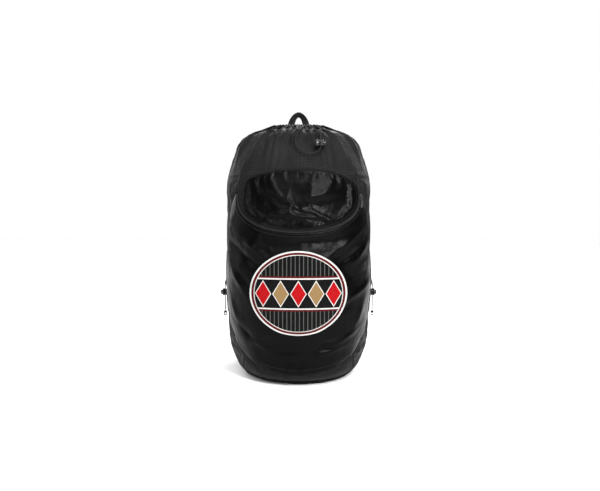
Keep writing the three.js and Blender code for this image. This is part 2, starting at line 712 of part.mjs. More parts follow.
function zipSlider() {
  const { half, high, thick, eye, pivot } = SLIDER;
  const body = toManifold(flatPlate(roundedPlate(half, high, 1.8), thick));
  const bail = block(1.6, 7, pivot + 1.2, 0, 0, thick + (pivot + 1.2) / 2 - 1);
  const hole = toManifold(rod(eye, -3, 3, 10).translate(0, 0, thick + pivot - 1.4));
  return fromManifold(body.add(bail.subtract(hole)));
}

// Pull that hangs from a pin through the slider's bail
function zipPull() {
  const { half, length, thick, pin, cheek } = PULL;
  const height = SLIDER.thick + SLIDER.pivot - 1.4;
  const axle = toManifold(rod(pin, -half, half, 8).translate(0, 0, height));
  const tab = block(2 * half, length - 6, thick, 0, -6 - (length - 6) / 2, height);
  const cheekAt = (x) => block(half - cheek + 0.6, 8, thick, x, -3, height);
  const cheekX = (cheek + half) / 2;
  return fromManifold(axle.add(tab).add(cheekAt(-cheekX)).add(cheekAt(cheekX)));
}

// Ladder lock, its strap end and its webbing share one frame: across, down the strap and out from the wearer
function buckleFrame({ side, buckle }) {
  const [lean, roll] = [rad(buckle.lean), side * rad(buckle.roll)];
  const straight = V(0, -Math.sin(lean), -Math.cos(lean));
  const out = V(0, Math.cos(lean), -Math.sin(lean));
  const down = V(Math.sin(roll), 0, 0).addScaledVector(straight, Math.cos(roll));
  const across = V(Math.cos(roll), 0, 0).addScaledVector(straight, -Math.sin(roll));
  const middle = at(side * buckle.x, -buckle.behind, buckle.z);
  const place = (v, n) => middle.clone().addScaledVector(down, v).addScaledVector(out, n);
  return { across, down, out, middle, place };
}

const strapCurve = ({ side, path }) => new THREE.CatmullRomCurve3(
  path.map((row) => at(side * row.x, -row.behind, row.z)), false, 'centripetal');

// Stations along a strap at shares of its length, standing off its middle line
function strapStations(strap, shares, half, halfThick, off = 0) {
  const curve = strapCurve(strap);
  return shares.map((u) => {
    const along = curve.getTangentAt(u);
    const across = V(1, 0, 0).addScaledVector(along, -along.x).normalize();
    const out = across.clone().cross(along).normalize();
    const middle = curve.getPointAt(u).addScaledVector(out, off);
    return { middle, across: across.multiplyScalar(half), out: out.multiplyScalar(halfThick) };
  });
}

// Half width of a padded strap by share of its length
const STRAP_HALF = [
  { share: 0, half: 32.5 },
  { share: 0.35, half: 30.5 },
  { share: 0.75, half: 28 },
  { share: 0.9, half: 25 },
  { share: 1, half: 20.5 },
];
const STRAP_STEPS = 16;
const STRAP_SHARES = Array.from({ length: STRAP_STEPS + 1 }, (_, k) => k / STRAP_STEPS);
function strapPad(strap) {
  const stations = strapStations(strap, STRAP_SHARES, 1, STRAP_THICK / 2);
  stations.forEach((row, k) => {
    row.across.multiplyScalar(smooth(STRAP_HALF, 'share', 'half', STRAP_SHARES[k]));
  });
  return sweep(stations, PADDED_SECTION);
}

const TAB_FROM = 0.925;
const TAB_SHARES = [TAB_FROM, 0.95, 0.97, 0.99];
const STRAP_FACE = STRAP_THICK / 2 + 2 * LIFT;
function strapStripe(strap) {
  const shares = STRAP_SHARES.filter((u) => u > 0 && u < TAB_FROM);
  const off = STRAP_FACE + STRIPE_THICK / 2;
  return sweep(strapStations(strap, shares, STRIPE_HALF, STRIPE_THICK / 2, off), FLAT_SECTION);
}

// Webbing along points, with its stations spread evenly over the points
function webAlong(points, acrossFrom, acrossTo, half = WEB_HALF, perPoint = 3) {
  const curve = new THREE.CatmullRomCurve3(points, false, 'centripetal');
  const count = perPoint * (points.length - 1);
  const stations = [];
  for (let k = 0; k <= count; k += 1) {
    const along = curve.getTangent(k / count);
    const across = acrossFrom.clone().lerp(acrossTo, k / count);
    across.addScaledVector(along, -across.dot(along)).normalize();
    const out = along.clone().cross(across).normalize().multiplyScalar(WEB_THICK / 2);
    stations.push({ middle: curve.getPoint(k / count), across: across.multiplyScalar(half), out });
  }
  return sweep(stations, FLAT_SECTION);
}

// Webbing loop sewn to the end of a strap and folded round the top bar of its ladder lock
function strapTab(strap) {
  const frame = buckleFrame(strap);
  const sewn = strapStations(strap, TAB_SHARES, WEB_HALF, WEB_THICK / 2, STRAP_FACE + WEB_THICK / 2);
  const fold = [[-24, 3.4], [-19, 3.3], [-16.3, 1.2], [-16.3, -1.6], [-19, -3.4], [-23, -3.5]];
  const points = sewn.map((row) => row.middle).concat(fold.map(([v, n]) => frame.place(v, n)));
  return webAlong(points, V(1, 0, 0), frame.across, WEB_HALF, 2);
}

// Webbing from the side of the bag up behind the ladder lock, out through one slot and over the middle bar
function strapWeb(strap) {
  const frame = buckleFrame(strap);
  const rise = strap.web.map((row) => at(strap.side * row.x, -row.behind, row.z)).reverse();
  const lock = [
    [27, -6.4], [14, -6.4], [2, -6.3], [-3.6, -4], [-4.6, -0.6], [-3.6, 3.2], [1.5, 4.2], [6, 3], [7.4, 0],
  ];
  const points = rise.concat(lock.map(([v, n]) => frame.place(v, n)));
  return webAlong(points, V(1, 0, 0), frame.across, WEB_HALF, 2);
}

// Free end of that webbing, behind the lower bar and hanging down
function webTail(strap) {
  const frame = buckleFrame(strap);
  const lock = [[8.4, -1.9], [11.5, -3.6], [19, -3.9], [27, -3.9]].map(([v, n]) => frame.place(v, n));
  const hang = strap.tail.map((row) => at(strap.side * row.x, -row.behind, row.z));
  return webAlong(lock.concat(hang), frame.across, V(1, 0, 0), WEB_HALF, 2);
}

// Clip on the outer face of one strap, with the loose end of a chest strap hanging from it
const CHEST = { share: 0.6, aside: 17, half: 9, high: 20, thick: 3, slotHalf: 6.8, webHalf: 6 };
function chestFrame() {
  const off = STRAP_FACE + CHEST.thick / 2;
  const [{ middle, across, out }] = strapStations(STRAPS.left, [CHEST.share], 1, 1, off);
  middle.addScaledVector(across, STRAPS.left.side * CHEST.aside);
  return { middle, across, out, down: out.clone().cross(across) };
}

function chestClip() {
  const plate = roundedPlate(CHEST.half, CHEST.high, 4);
  plate.holes.push(slotPath(CHEST.slotHalf, 8, 14));
  plate.holes.push(slotPath(CHEST.slotHalf, -15, -4));
  const geometry = flatPlate(plate, CHEST.thick).translate(0, 0, -CHEST.thick / 2);
  const { middle, across, out, down } = chestFrame();
  return geometry.applyMatrix4(new THREE.Matrix4().makeBasis(across, down, out).setPosition(middle));
}

function chestWeb() {
  const { middle, across, out, down } = chestFrame();
  const near = [[10.5, -0.2], [12, 2.2], [15.5, 3.4], [21, 3.2]];
  const points = near.map(([v, n]) => middle.clone().addScaledVector(down, v).addScaledVector(out, n));
  const start = points[points.length - 1];
  for (const [drop, back] of [[25, 1], [55, 3], [85, 7]]) points.push(start.clone().add(V(0, -back, -drop)));
  return webAlong(points, across, across, CHEST.webHalf, 2);
}

// Carrying loop at the top of the back: flat legs that lean together, and a top that tips over backwards
const HAUL_LEG = [
  { x: 20.5, depth: -2, z: 556 }, { x: 20.5, depth: -2, z: 592 }, { x: 19.8, depth: -1.6, z: 604 },
  { x: 16, depth: -0.6, z: 617.5 }, { x: 9, depth: 0.6, z: 628.5 },
];
const HAUL_TOP = { depth: 1.2, z: 633 };
const HAUL_HALF = 8.5;
const HAUL_TIP = rad(50);
function haulLoop() {
  const leg = (side) => HAUL_LEG.map((row) => at(side * row.x, row.depth, row.z));
  const points = [...leg(-1), at(0, HAUL_TOP.depth, HAUL_TOP.z), ...leg(1).reverse()];
  const acrossAt = (u, along) => {
    const twist = HAUL_TIP * THREE.MathUtils.smoothstep(1 - Math.abs(2 * u - 1), 0.5, 0.95);
    return V(along.z, 0, -along.x).normalize().multiplyScalar(Math.cos(twist)).add(V(0, Math.sin(twist), 0));
  };
  return sweep(stationsAlong(points, 24, acrossAt, () => HAUL_HALF, 1.1), FLAT_SECTION);
}

// Outside of a side pocket: sewn flat at its seams, and open at the mouth, more to the rear than to the side
function sidePocketPoint(q, z, off) {
  const back = qAtBackX(SIDE_POCKET.backX, z);
  const front = qAtDepth(SIDE_POCKET.frontDepth, z);
  const across = clamp((Math.abs(q) - back) / (front - back), 0, 1);
  const rise = clamp((z - SIDE_POCKET.low) / (SIDE_POCKET.top - SIDE_POCKET.low), 0, 1);
  const flare = SIDE_POCKET.flare * Math.sin(Math.PI * across ** SIDE_POCKET.peak) * rise ** 1.4;
  const out = shellNormal(q, z);
  const open = V(out.x * SIDE_POCKET.aside, out.y, 0).multiplyScalar(flare);
  return shellPoint(q, z).addScaledVector(out, SIDE_POCKET.stand + CLOTH + off).add(open);
}

function sidePocketWall(side, rows) {
  return shellPanel({
    from: (z) => side * qAtBackX(SIDE_POCKET.backX, z),
    to: (z) => side * qAtDepth(SIDE_POCKET.frontDepth, z),
    columns: 12,
    rows,
    surface: (q, z, inset) => sidePocketPoint(q, z, -inset),
  });
}

// Outer corner of a side pocket's hem, where its cord comes out
function hemCorner(z) {
  const [back, front] = [qAtBackX(SIDE_POCKET.backX, z), qAtDepth(SIDE_POCKET.frontDepth, z)];
  let best = sidePocketPoint(back, z, 0);
  for (let t = 0; t <= 1; t += 0.02) {
    const point = sidePocketPoint(back + (front - back) * t, z, 0);
    if (point.x + 0.5 * point.y > best.x + 0.5 * best.y) best = point;
  }
  return best;
}

// Webbing sewn over the lower back of a side pocket, which the strap's webbing runs to
function webAnchor(side) {
  return shellPanel({
    from: (z) => side * qAtBackX(ANCHOR.nearX, z),
    to: (z) => side * qAtBackX(ANCHOR.farX, z),
    columns: 9,
    rows: [ANCHOR.low, (ANCHOR.low + ANCHOR.high) / 2, ANCHOR.high],
    surface: (q, z, inset) => sidePocketPoint(q, z, RIBBON_LIFT + WEB_THICK - inset),
    thick: WEB_THICK,
  });
}

function sideWeb(side) {
  return shellPanel({
    from: (z) => side * qAtDepth(SIDE_WEB.nearDepth, z),
    to: (z) => side * qAtFrontX(SIDE_WEB.farX, z),
    columns: 8,
    rows: [SIDE_WEB.low, SIDE_WEB.high],
    off: RIBBON_LIFT + WEB_THICK,
    thick: WEB_THICK,
  });
}

function sideStripe(side) {
  const { low, high } = SIDE_STRIPE;
  return shellPanel({
    from: (z) => side * qAtDepth(SIDE_STRIPE.nearDepth, z),
    to: (z) => side * qAtDepth(SIDE_STRIPE.farDepth, z),
    columns: 2,
    rows: [low, ...PANEL_ROWS.filter((z) => z > low && z < high), high],
    off: RIBBON_LIFT + STRIPE_THICK,
    thick: STRIPE_THICK,
  });
}

// Cord of a side pocket: out of the hem at its outer corner, through the lock and down to the knot
const CORD_END_Z = 126;
const CORD_EXIT_Z = 207;
function pocketLockPlace(side) {
  return V(side * POCKET_LOCK.x, hemCorner(CORD_EXIT_Z).y + POCKET_LOCK.behindHem, POCKET_LOCK.z);
}

function pocketCord(side) {
  const exit = hemCorner(CORD_EXIT_Z);
  const lock = pocketLockPlace(1);
  const over = (share, z) => exit.clone().lerp(lock, share).setZ(z);
  const start = over(0, CORD_EXIT_Z);
  start.x += CORD_RADIUS * 2;
  const hang = [start, over(0.55, 208), over(0.9, 203)];
  for (const z of [196, lock.z + 12, lock.z, lock.z - 12, 148, CORD_END_Z]) hang.push(V(lock.x, lock.y, z));
  return cord(hang.map((p) => V(side * p.x, p.y, p.z)), 14);
}

function lockGroup(position, turn = null) {
  const group = new THREE.Group();
  group.position.copy(position);
  if (turn) group.setRotationFromMatrix(turn);
  bag.add(group);
  return group;
}

// Lock of the drawcord, on the slope in front of the mouth, with its cord along the slope
function drawLockFrame() {
  const q = qAtFrontX(DRAW_LOCK.x, DRAW_LOCK.z);
  const out = shellNormal(q, DRAW_LOCK.z).setX(0).normalize();
  const across = V(1, 0, 0);
  const up = out.clone().cross(across);
  return { middle: offShell(q, DRAW_LOCK.z, DRAW_LOCK.off), across, out, up };
}

// Drawcord: out of the casing, in a loose loop down the slope, up through the lock and back into the casing
const DRAW_LOOP = [
  { x: 10, z: 583, off: 3.4 }, { x: 5, z: 573, off: 6.5 }, { x: -2, z: 556, off: 6.5 },
  { x: -6, z: 540, off: 5.5 }, { x: -2, z: 525, off: 5 }, { x: 12, z: 516, off: 4.5 },
  { x: 28, z: 512, off: 5 }, { x: 42, z: 515, off: 8 },
];
function drawCord() {
  const { middle, up } = drawLockFrame();
  const loop = DRAW_LOOP.map((row) => {
    const q = qAtFrontX(Math.abs(row.x), row.z);
    return offShell(row.x < 0 ? 2 - q : q, row.z, row.off);
  });
  const lock = [-13, 0, 13].map((along) => middle.clone().addScaledVector(up, along));
  const home = [{ x: 49, z: 562, off: 7 }, { x: 46, z: 577, off: 6 }, { x: 43, z: 584, off: 3.4 }];
  const back = home.map((row) => offShell(qAtFrontX(row.x, row.z), row.z, row.off));
  return cord(loop.concat(lock, back), 24);
}

const SIDES = { left: -1, right: 1 };

piece('back_panel', backPanel(), 'pad');
piece('mesh_body', meshBody(), 'mesh');
piece('front_band', frontBand(), 'mesh');
piece('bottom_panel', bottomPanel(), 'mesh');
piece('collar', collar(), 'satin');
piece('pocket_panel', pocketPanel(), 'satin');
piece('pocket_lid', pocketLid(), 'satin');
piece('zip_tape', zipTape(), 'webbing');
piece('haul_loop', haulLoop(), 'webbing');
piece('drawcord', drawCord(), 'cord');

const slider = sliderGroup();
piece('zip_slider', zipSlider(), 'metal', slider);
piece('zip_pull', zipPull(), 'metal', slider);

const drawFrame = drawLockFrame();
const drawInward = drawFrame.out.clone().negate();
const drawTurn = new THREE.Matrix4().makeBasis(drawFrame.across, drawInward, drawFrame.up);
const drawLock = lockGroup(drawFrame.middle, drawTurn);
piece('draw_lock', lockBarrel(), 'plastic', drawLock);
piece('draw_button', lockButton(), 'plastic', drawLock);

for (const [name, side] of Object.entries(SIDES)) {
  piece(`wing_${name}`, between(side, backSeam, wingSeam, 3), 'satin');
  piece(`side_panel_${name}`, between(side, wingSeam, sideSeam, 5), 'satin');
  piece(`side_stripe_${name}`, sideStripe(side), 'ribbon');
  piece(`side_pocket_${name}`, sidePocketWall(side, SIDE_POCKET_ROWS), 'mesh');
  piece(`pocket_hem_${name}`, sidePocketWall(side, HEM_ROWS), 'satin');
  piece(`side_web_${name}`, sideWeb(side), 'webbing');
  piece(`web_anchor_${name}`, webAnchor(side), 'webbing');
  piece(`pocket_cord_${name}`, pocketCord(side), 'cord');

  const place = pocketLockPlace(side);
  const lock = lockGroup(place, new THREE.Matrix4().makeRotationZ(side < 0 ? Math.PI : 0));
  piece(`cord_lock_${name}`, lockBarrel(), 'plastic', lock);
  piece(`lock_button_${name}`, lockButton(), 'plastic', lock);
  const end = lockGroup(place.clone().setZ(CORD_END_Z - SEAM_GAP));
  piece(`cord_knot_${name}`, knotWithLoop(), 'cord', end);

  const strap = STRAPS[name];
  piece(`strap_${name}`, strapPad(strap), 'heather');
  piece(`strap_stripe_${name}`, strapStripe(strap), 'ribbon');
  piece(`strap_tab_${name}`, strapTab(strap), 'webbing');
  piece(`strap_web_${name}`, strapWeb(strap), 'webbing');
  piece(`web_tail_${name}`, webTail(strap), 'webbing');
  const { across, down, out, middle } = buckleFrame(strap);
  const buckle = lockGroup(middle, new THREE.Matrix4().makeBasis(across, down, out));
  piece(`ladder_lock_${name}`, ladderLock(), 'plastic', buckle);
}
piece('chest_clip', chestClip(), 'plastic');
piece('chest_web', chestWeb(), 'webbing');

export default bag;
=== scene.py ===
"""Looks of a drawstring baseball backpack: sewn cloth panels, padded straps, webbing, cords and fittings.

Tables and formulas are in millimetres, with depth counted from the back plane towards the front, and every
mesh is written in metres. q runs round the shell from 0 at the back centre over the +X side to 1 at the
front centre.
"""
import math

import bmesh
import bpy
import numpy as np
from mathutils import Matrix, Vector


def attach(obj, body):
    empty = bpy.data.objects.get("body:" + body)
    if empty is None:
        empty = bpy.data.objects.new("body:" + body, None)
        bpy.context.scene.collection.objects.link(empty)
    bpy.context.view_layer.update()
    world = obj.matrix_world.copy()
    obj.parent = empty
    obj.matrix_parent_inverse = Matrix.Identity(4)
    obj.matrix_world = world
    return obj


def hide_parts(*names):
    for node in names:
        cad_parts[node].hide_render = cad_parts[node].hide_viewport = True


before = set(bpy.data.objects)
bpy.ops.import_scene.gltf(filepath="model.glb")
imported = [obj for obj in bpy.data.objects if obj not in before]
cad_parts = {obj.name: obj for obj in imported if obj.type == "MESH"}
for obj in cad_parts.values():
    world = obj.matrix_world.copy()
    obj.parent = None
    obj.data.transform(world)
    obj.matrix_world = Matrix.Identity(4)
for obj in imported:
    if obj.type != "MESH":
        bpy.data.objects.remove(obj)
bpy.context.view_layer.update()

MM = 0.001
BACK_Y = 140.0
CLOTH = 1.6
BACK_PAD = 9.0
POCKET_STAND = 1.3
BASE_RIM = 8.0
COLLAR_LOW, MOUTH_Z = 572.0, 597.0
GATHERS, PLEATS = 16, 34
GATHER_START, GATHER_FULL = 0.2, 0.34
WEB_HALF, WEB_THICK, WEB_STAND = 12.5, 1.5, 2.9
CORD_RADIUS = 1.6
UP = np.array([0.0, 0.0, 1.0])
ACROSS = np.array([1.0, 0.0, 0.0])
SIDES = {"left": -1, "right": 1}


def table(columns, *rows):
    """Rows of numbers as named columns."""
    return dict(zip(columns.split(), np.array(rows, float).T))


LEVELS = table(
    "z half back wide front corner fullness",
    (0, 120, 12, 75, 214, 5, 2.1),
    (3, 130, 4, 78, 234, 6, 2.1),
    (10, 137, 1, 80, 257, 7, 2.1),
    (32, 149, 0, 88, 279, 8, 2.2),
    (50, 155, 0, 96, 276, 8, 2.2),
    (72, 161, 0, 105, 270, 8, 2.3),
    (100, 165, 0, 110, 266, 8, 2.3),
    (200, 171, 0, 110, 268, 8, 2.3),
    (300, 173, 0, 110, 268, 8, 2.3),
    (430, 172, 0, 110, 266, 8, 2.3),
    (470, 168, 0, 110, 261, 8, 2.3),
    (485, 165, 0, 108, 253, 8, 2.3),
    (514, 156, 0, 102, 234, 7, 2.3),
    (542, 145, 1, 92, 210, 5, 2.3),
    (557, 134, 2, 84, 196, 4, 2.3),
    (571, 117, 3, 74, 176, 3.4, 2.2),
    (581, 96, 5, 65, 143, 3, 2.2),
    (588, 78, 8, 58, 119, 2.6, 2.2),
    (MOUTH_Z, 60, 12, 54, 100, 2.4, 2.2),
)
GATHER_DEPTH = table("z depth", (470, 0), (520, 1.6), (557, 4), (588, 7), (MOUTH_Z, 5))
PLEAT_DEPTH = table("z depth", (480, 0), (525, 1.8), (555, 4.4), (580, 5.4), (MOUTH_Z, 3.4))

# A seam is a measure of the shell and its value
BACK_SEAM_X = 98.0
BACK_SEAM, WING_SEAM, SIDE_SEAM = ("back_x", BACK_SEAM_X), ("back_x", 123.0), ("depth", 72.0)
SEAM_TURN_Z = 505.0
BAND_SEAM_X, BAND_SEAM_Z, BAND_TOP, BAND_RISE = 138.0, 50.0, 58.0, 0.07
PANEL_LOW, PANEL_HIGH = 8.3, 571.6

POCKET_EDGE = [
    (0, 32), (34, 35), (77, 44), (119, 70), (138, 100),
    (151, 141), (157, 206), (155, 313), (149, 372), (142, 404),
]
ZIP_END_X, ZIP_END_Z, ZIP_MID_Z = 129.0, 428.0, 341.0
LID_HALF, LID_Z, LID_UP, LID_DOWN, LID_POWER = 123.0, 431.0, 47.0, 84.0, 2.3
POCKET_FORM = table(
    "z bulge half",
    (30, 0.3, 60), (45, 2, 95), (58, 4, 112), (96, 15, 140), (142, 25, 155), (226, 31, 161), (307, 28, 159),
    (379, 27, 152), (427, 23, 140), (450, 20, 128), (466, 13, 104), (476, 5, 72), (483, 0.5, 40),
)
FOLD_COLUMNS = "x z turn long across high"
POCKET_FOLDS = table(
    FOLD_COLUMNS,
    (-95, 300, 62, 70, 14, 4),
    (92, 262, 118, 80, 16, -5),
    (-60, 120, 20, 60, 13, 4),
    (70, 110, 158, 64, 14, 4),
    (20, 322, 8, 80, 12, -3),
    (-40, 420, 150, 46, 11, -4),
    (48, 428, 12, 50, 12, 4),
)

# Sharper creases of the pocket's cloth, on top of its main folds
POCKET_CREASES = table(
    FOLD_COLUMNS,
    (84, 312, 40, 44, 8, 4.5),
    (99, 290, 38, 28, 6, -3.5),
    (126, 300, 52, 26, 6, 3.5),
    (-100, 290, 139, 46, 7, -4.5),
    (-80, 305, 137, 36, 7, 4),
    (-52, 306, 128, 32, 9, 3.2),
    (-118, 240, 118, 40, 7, 3.8),
    (-92, 222, 124, 34, 7, -3),
    (117, 210, 36, 32, 7, 5),
    (98, 190, 48, 30, 7, -3),
    (59, 77, 21, 30, 6, 5.5),
    (93, 112, 32, 28, 6, 6),
    (66, 100, 26, 30, 6, -4.5),
    (-100, 116, 132, 36, 8, -5),
    (-74, 92, 142, 30, 7, 5),
    (-20, 70, 6, 36, 6, 4),
    (8, 296, 96, 28, 9, 2.4),
    (120, 160, 70, 30, 7, 4.5),
    (-128, 170, 104, 34, 7, 3.2),
)

# Faint creases across the back pad
BACK_CREASES = table(
    FOLD_COLUMNS,
    (-5, 472, 1, 34, 4, -2.2),
    (-8, 443, 3, 30, 4, -2.2),
    (5, 407, 4, 38, 4, -2.8),
    (8, 378, 2, 32, 5, -1.8),
    (0, 346, -1, 36, 4, -2.2),
    (4, 296, 0, 30, 4, -1.8),
)

STRAP_THICK, STRAP_LENGTH = 12.0, 420.0
STRAP_HALF = table("share half", (0, 32.5), (0.35, 30.5), (0.75, 28), (0.9, 25), (1, 20.5))
STRIPE_HALF = 3.3
TAB_FROM = 0.925
TAB_SEWN, TAB_SEWN_HALF = (0.932, 0.978), 9.5
STRAP_FACE = STRAP_THICK / 2 + 0.8
# Rows are distance behind the back plane, height and place across
STRAPS = {
    "left": {
        "path": [
            (1.5, 571, 67), (46, 571, 67), (80, 555, 67), (107, 529, 67), (121, 495, 66),
            (124, 450, 65), (121, 400, 64), (110, 345, 63), (93, 285, 63), (72, 225, 64),
        ],
        "buckle": {"behind": 67, "z": 196, "x": 66, "lean": 18, "roll": 8},
        "web": [(36, 142, 79), (14, 118, 90), (5, 109, 95)],
        "tail": [(49, 150, 73), (52, 125, 76), (49, 97, 81), (40, 62, 88), (26, 28, 95)],
    },
    "right": {
        "path": [
            (1.5, 571, 67), (16, 567, 67), (38, 545, 67), (55, 511, 67), (64, 470, 66),
            (66, 425, 65), (62, 378, 64), (51, 328, 63), (36, 275, 63), (19, 214, 64),
        ],
        "buckle": {"behind": 18.5, "z": 184, "x": 66, "lean": 8, "roll": 8},
        "web": [(8, 142, 77), (6, 120, 88), (5, 109, 95)],
        "tail": [(14, 142, 73), (14.5, 120, 77), (14, 95, 82), (11, 62, 89), (6, 28, 96)],
    },
}
# Rows are distance down the buckle and out of its face
TAB_FOLD = [(-24, 3.4), (-19, 3.3), (-16.3, 1.2), (-16.3, -1.6), (-19, -3.4), (-23, -3.5)]
WEB_THREAD = [
    (27, -6.4), (14, -6.4), (2, -6.3), (-3.6, -4), (-4.6, -0.6), (-3.6, 3.2), (1.5, 4.2), (6, 3), (7.4, 0),
]
TAIL_START = [(8.4, -1.9), (11.5, -3.6), (19, -3.9), (27, -3.9)]
SIDE_POCKET = {"low": 10, "hem": 196, "top": 216, "flare": 42, "aside": 0.4, "peak": 0.62, "stand": 2.4}
POCKET_BACK, POCKET_FRONT = ("back_x", 119), ("depth", 78)
ANCHOR = {"low": 79, "high": 104, "near": ("back_x", 90), "far": ("back_x", 146), "columns": 40}
SIDE_WEB = {"low": 152, "high": 177, "near": ("depth", 80), "far": ("front_x", 157), "columns": 60}
SIDE_STRIPE = {"low": 196, "high": 569, "near": ("depth", 32), "far": ("depth", 42)}
POCKET_LOCK = {"x": 194, "behind_hem": 4, "z": 174}
CORD_EXIT_Z, CORD_END_Z = 207.0, 126.0
DRAW_LOCK = {"x": 50, "z": 531, "off": 11.5}
DRAW_LOOP = [
    (10, 583, 3.4), (5, 573, 6.5), (-2, 556, 6.5), (-6, 540, 5.5),
    (-2, 525, 5), (12, 516, 4.5), (28, 512, 5), (42, 515, 8),
]
DRAW_HOME = [(49, 562, 7), (46, 577, 6), (43, 584, 3.4)]
# Rows are place across, depth and height of one leg of the carrying loop
HAUL_LEG = [(20.5, -2, 556), (20.5, -2, 592), (19.8, -1.6, 604), (16, -0.6, 617.5), (9, 0.6, 628.5)]
HAUL_TOP = (0, 1.2, 633)
HAUL_HALF, HAUL_THICK, HAUL_TIP = 8.5, 2.2, math.radians(50)
CHEST = {"share": 0.6, "aside": 17, "web_half": 6}
LOCK = {"back": -12, "front": 6, "radius": 8.6, "rim": 9.6, "bore": 6.3, "bore_end": -9, "hole": 2.7}
LOCK_GROOVE = ((0, 0), (0.5, 0.5), (0.5, 0.9), (0, 1.3))
BUTTON = {"back": -4.4, "front": 11, "radius": 6, "slot_back": -2.2, "slot_front": 6.6, "slot_half": 2.6}


# Curves and small sums

def smooth(rows, by, column, value):
    """A curve through the rows of a table that never overshoots them."""
    x, y = rows[by], rows[column]
    value = np.clip(np.asarray(value, float), x[0], x[-1])
    i = np.clip(np.searchsorted(x, value) - 1, 0, len(x) - 2)
    step = np.diff(x)
    rise = np.diff(y) / step
    slope = np.zeros(len(y))
    slope[0], slope[-1] = rise[0], rise[-1]
    product = rise[:-1] * rise[1:]
    total = np.where(product > 0, rise[:-1] + rise[1:], 1.0)
    slope[1:-1] = np.where(product > 0, 2 * product / total, 0.0)
    t = (value - x[i]) / step[i]
    near = y[i] * (1 + 2 * t) * (1 - t) ** 2 + slope[i] * step[i] * t * (1 - t) ** 2
    far = y[i + 1] * t * t * (3 - 2 * t) - slope[i + 1] * step[i] * t * t * (1 - t)
    return near + far


def smoothstep(value, low, high):
    t = np.clip((value - low) / (high - low), 0, 1)
    return t * t * (3 - 2 * t)


def dip(value, reach):
    """1 at nought, falling away on both sides."""
    return np.exp(-((value / reach) ** 2))


def unit(v):
    return v / np.maximum(np.linalg.norm(v, axis=-1, keepdims=True), 1e-9)


def at(x, depth, z):
    return np.array([x, BACK_Y - depth, z], float)


def run_length(points):
    return np.concatenate([[0], np.cumsum(np.linalg.norm(np.diff(points, axis=0), axis=1))])


def read_line(points, run, want):
    """The wanted places on a line whose own points lie at run."""
    return np.stack([np.interp(want, run, column) for column in points.T], -1)


def even(points, count):
    """The same line with evenly spaced points."""
    run = run_length(points)
    return read_line(points, run, np.linspace(0, run[-1], count))


def between(first, last, t, start, end):
    return (end - t) / (end - start) * first + (t - start) / (end - start) * last


def smooth_path(points, count):
    """Evenly spaced points on a smooth curve through the given ones."""
    p = np.asarray(points, float)
    reach = np.vstack([2 * p[0] - p[1], p, 2 * p[-1] - p[-2]])
    dense = []
    for k in range(len(p) - 1):
        spots = list(reach[k:k + 4])
        knots = np.cumsum([0.0] + [math.sqrt(np.linalg.norm(b - a)) for a, b in zip(spots, spots[1:])])
        t = np.linspace(knots[1], knots[2], 48, endpoint=False)[:, None]
        for span in (1, 2):
            pairs = enumerate(zip(spots, spots[1:]))
            spots = [between(a, b, t, knots[i], knots[i + span]) for i, (a, b) in pairs]
        dense.append(between(*spots, t, knots[1], knots[2]))
    return even(np.vstack([*dense, p[-1:]]), count)


def tangents(points):
    return unit(np.gradient(points, axis=0))


# The shell of the bag

RING_COLUMNS = ("half", "back", "wide", "front", "corner", "fullness")
RING_Z = np.arange(0.0, MOUTH_Z + 1)
RING_S = np.linspace(0, 1, 481)


def build_rings():
    """Half loops of the shell, millimetre by millimetre of height, evenly spaced along each loop."""
    turn = np.linspace(0, math.pi / 2, 121)
    across_all, depth_all, length_all = [], [], []
    for z in RING_Z:
        half, back, wide, front, corner, fullness = (smooth(LEVELS, "z", c, z) for c in RING_COLUMNS)
        rear_x = half * np.sin(turn) ** (2 / corner)
        rear_depth = wide - (wide - back) * np.clip(np.cos(turn), 0, 1) ** (2 / corner)
        fore_x = half * np.clip(np.cos(turn[1:]), 0, 1) ** (2 / fullness)
        fore_depth = wide + (front - wide) * np.sin(turn[1:]) ** (2 / fullness)
        loop = np.stack([np.concatenate([rear_x, fore_x]), np.concatenate([rear_depth, fore_depth])], 1)
        run = run_length(loop)
        across_all.append(np.interp(RING_S, run / run[-1], loop[:, 0]))
        depth_all.append(np.interp(RING_S, run / run[-1], loop[:, 1]))
        length_all.append(run[-1])
    return np.array(across_all), np.array(depth_all), np.array(length_all)


RING_X, RING_DEPTH, RING_LENGTH = build_rings()
WIDEST = RING_X.argmax(1)


def wrap(q):
    return (q + 1) % 2 - 1


def ring_point(q, z):
    """Point of the plain shell."""
    q, z = np.broadcast_arrays(np.asarray(q, float), np.asarray(z, float))
    turned = wrap(q)
    s = np.abs(turned) * (len(RING_S) - 1)
    i = np.minimum(s.astype(int), len(RING_S) - 2)
    level = np.clip(z, 0, MOUTH_Z - 0.001)
    k = np.minimum(level.astype(int), len(RING_Z) - 2)
    fs, fz = s - i, level - k

    def read(grid):
        low = grid[k, i] * (1 - fs) + grid[k, i + 1] * fs
        high = grid[k + 1, i] * (1 - fs) + grid[k + 1, i + 1] * fs
        return low * (1 - fz) + high * fz

    return np.stack([np.sign(turned) * read(RING_X), BACK_Y - read(RING_DEPTH), z + 0.0], -1)


def lumps(turn):
    """Rounded backs of pleats with sharp gaps between them, from -1 to 1."""
    return 2 * np.abs(np.cos(turn / 2)) - 1


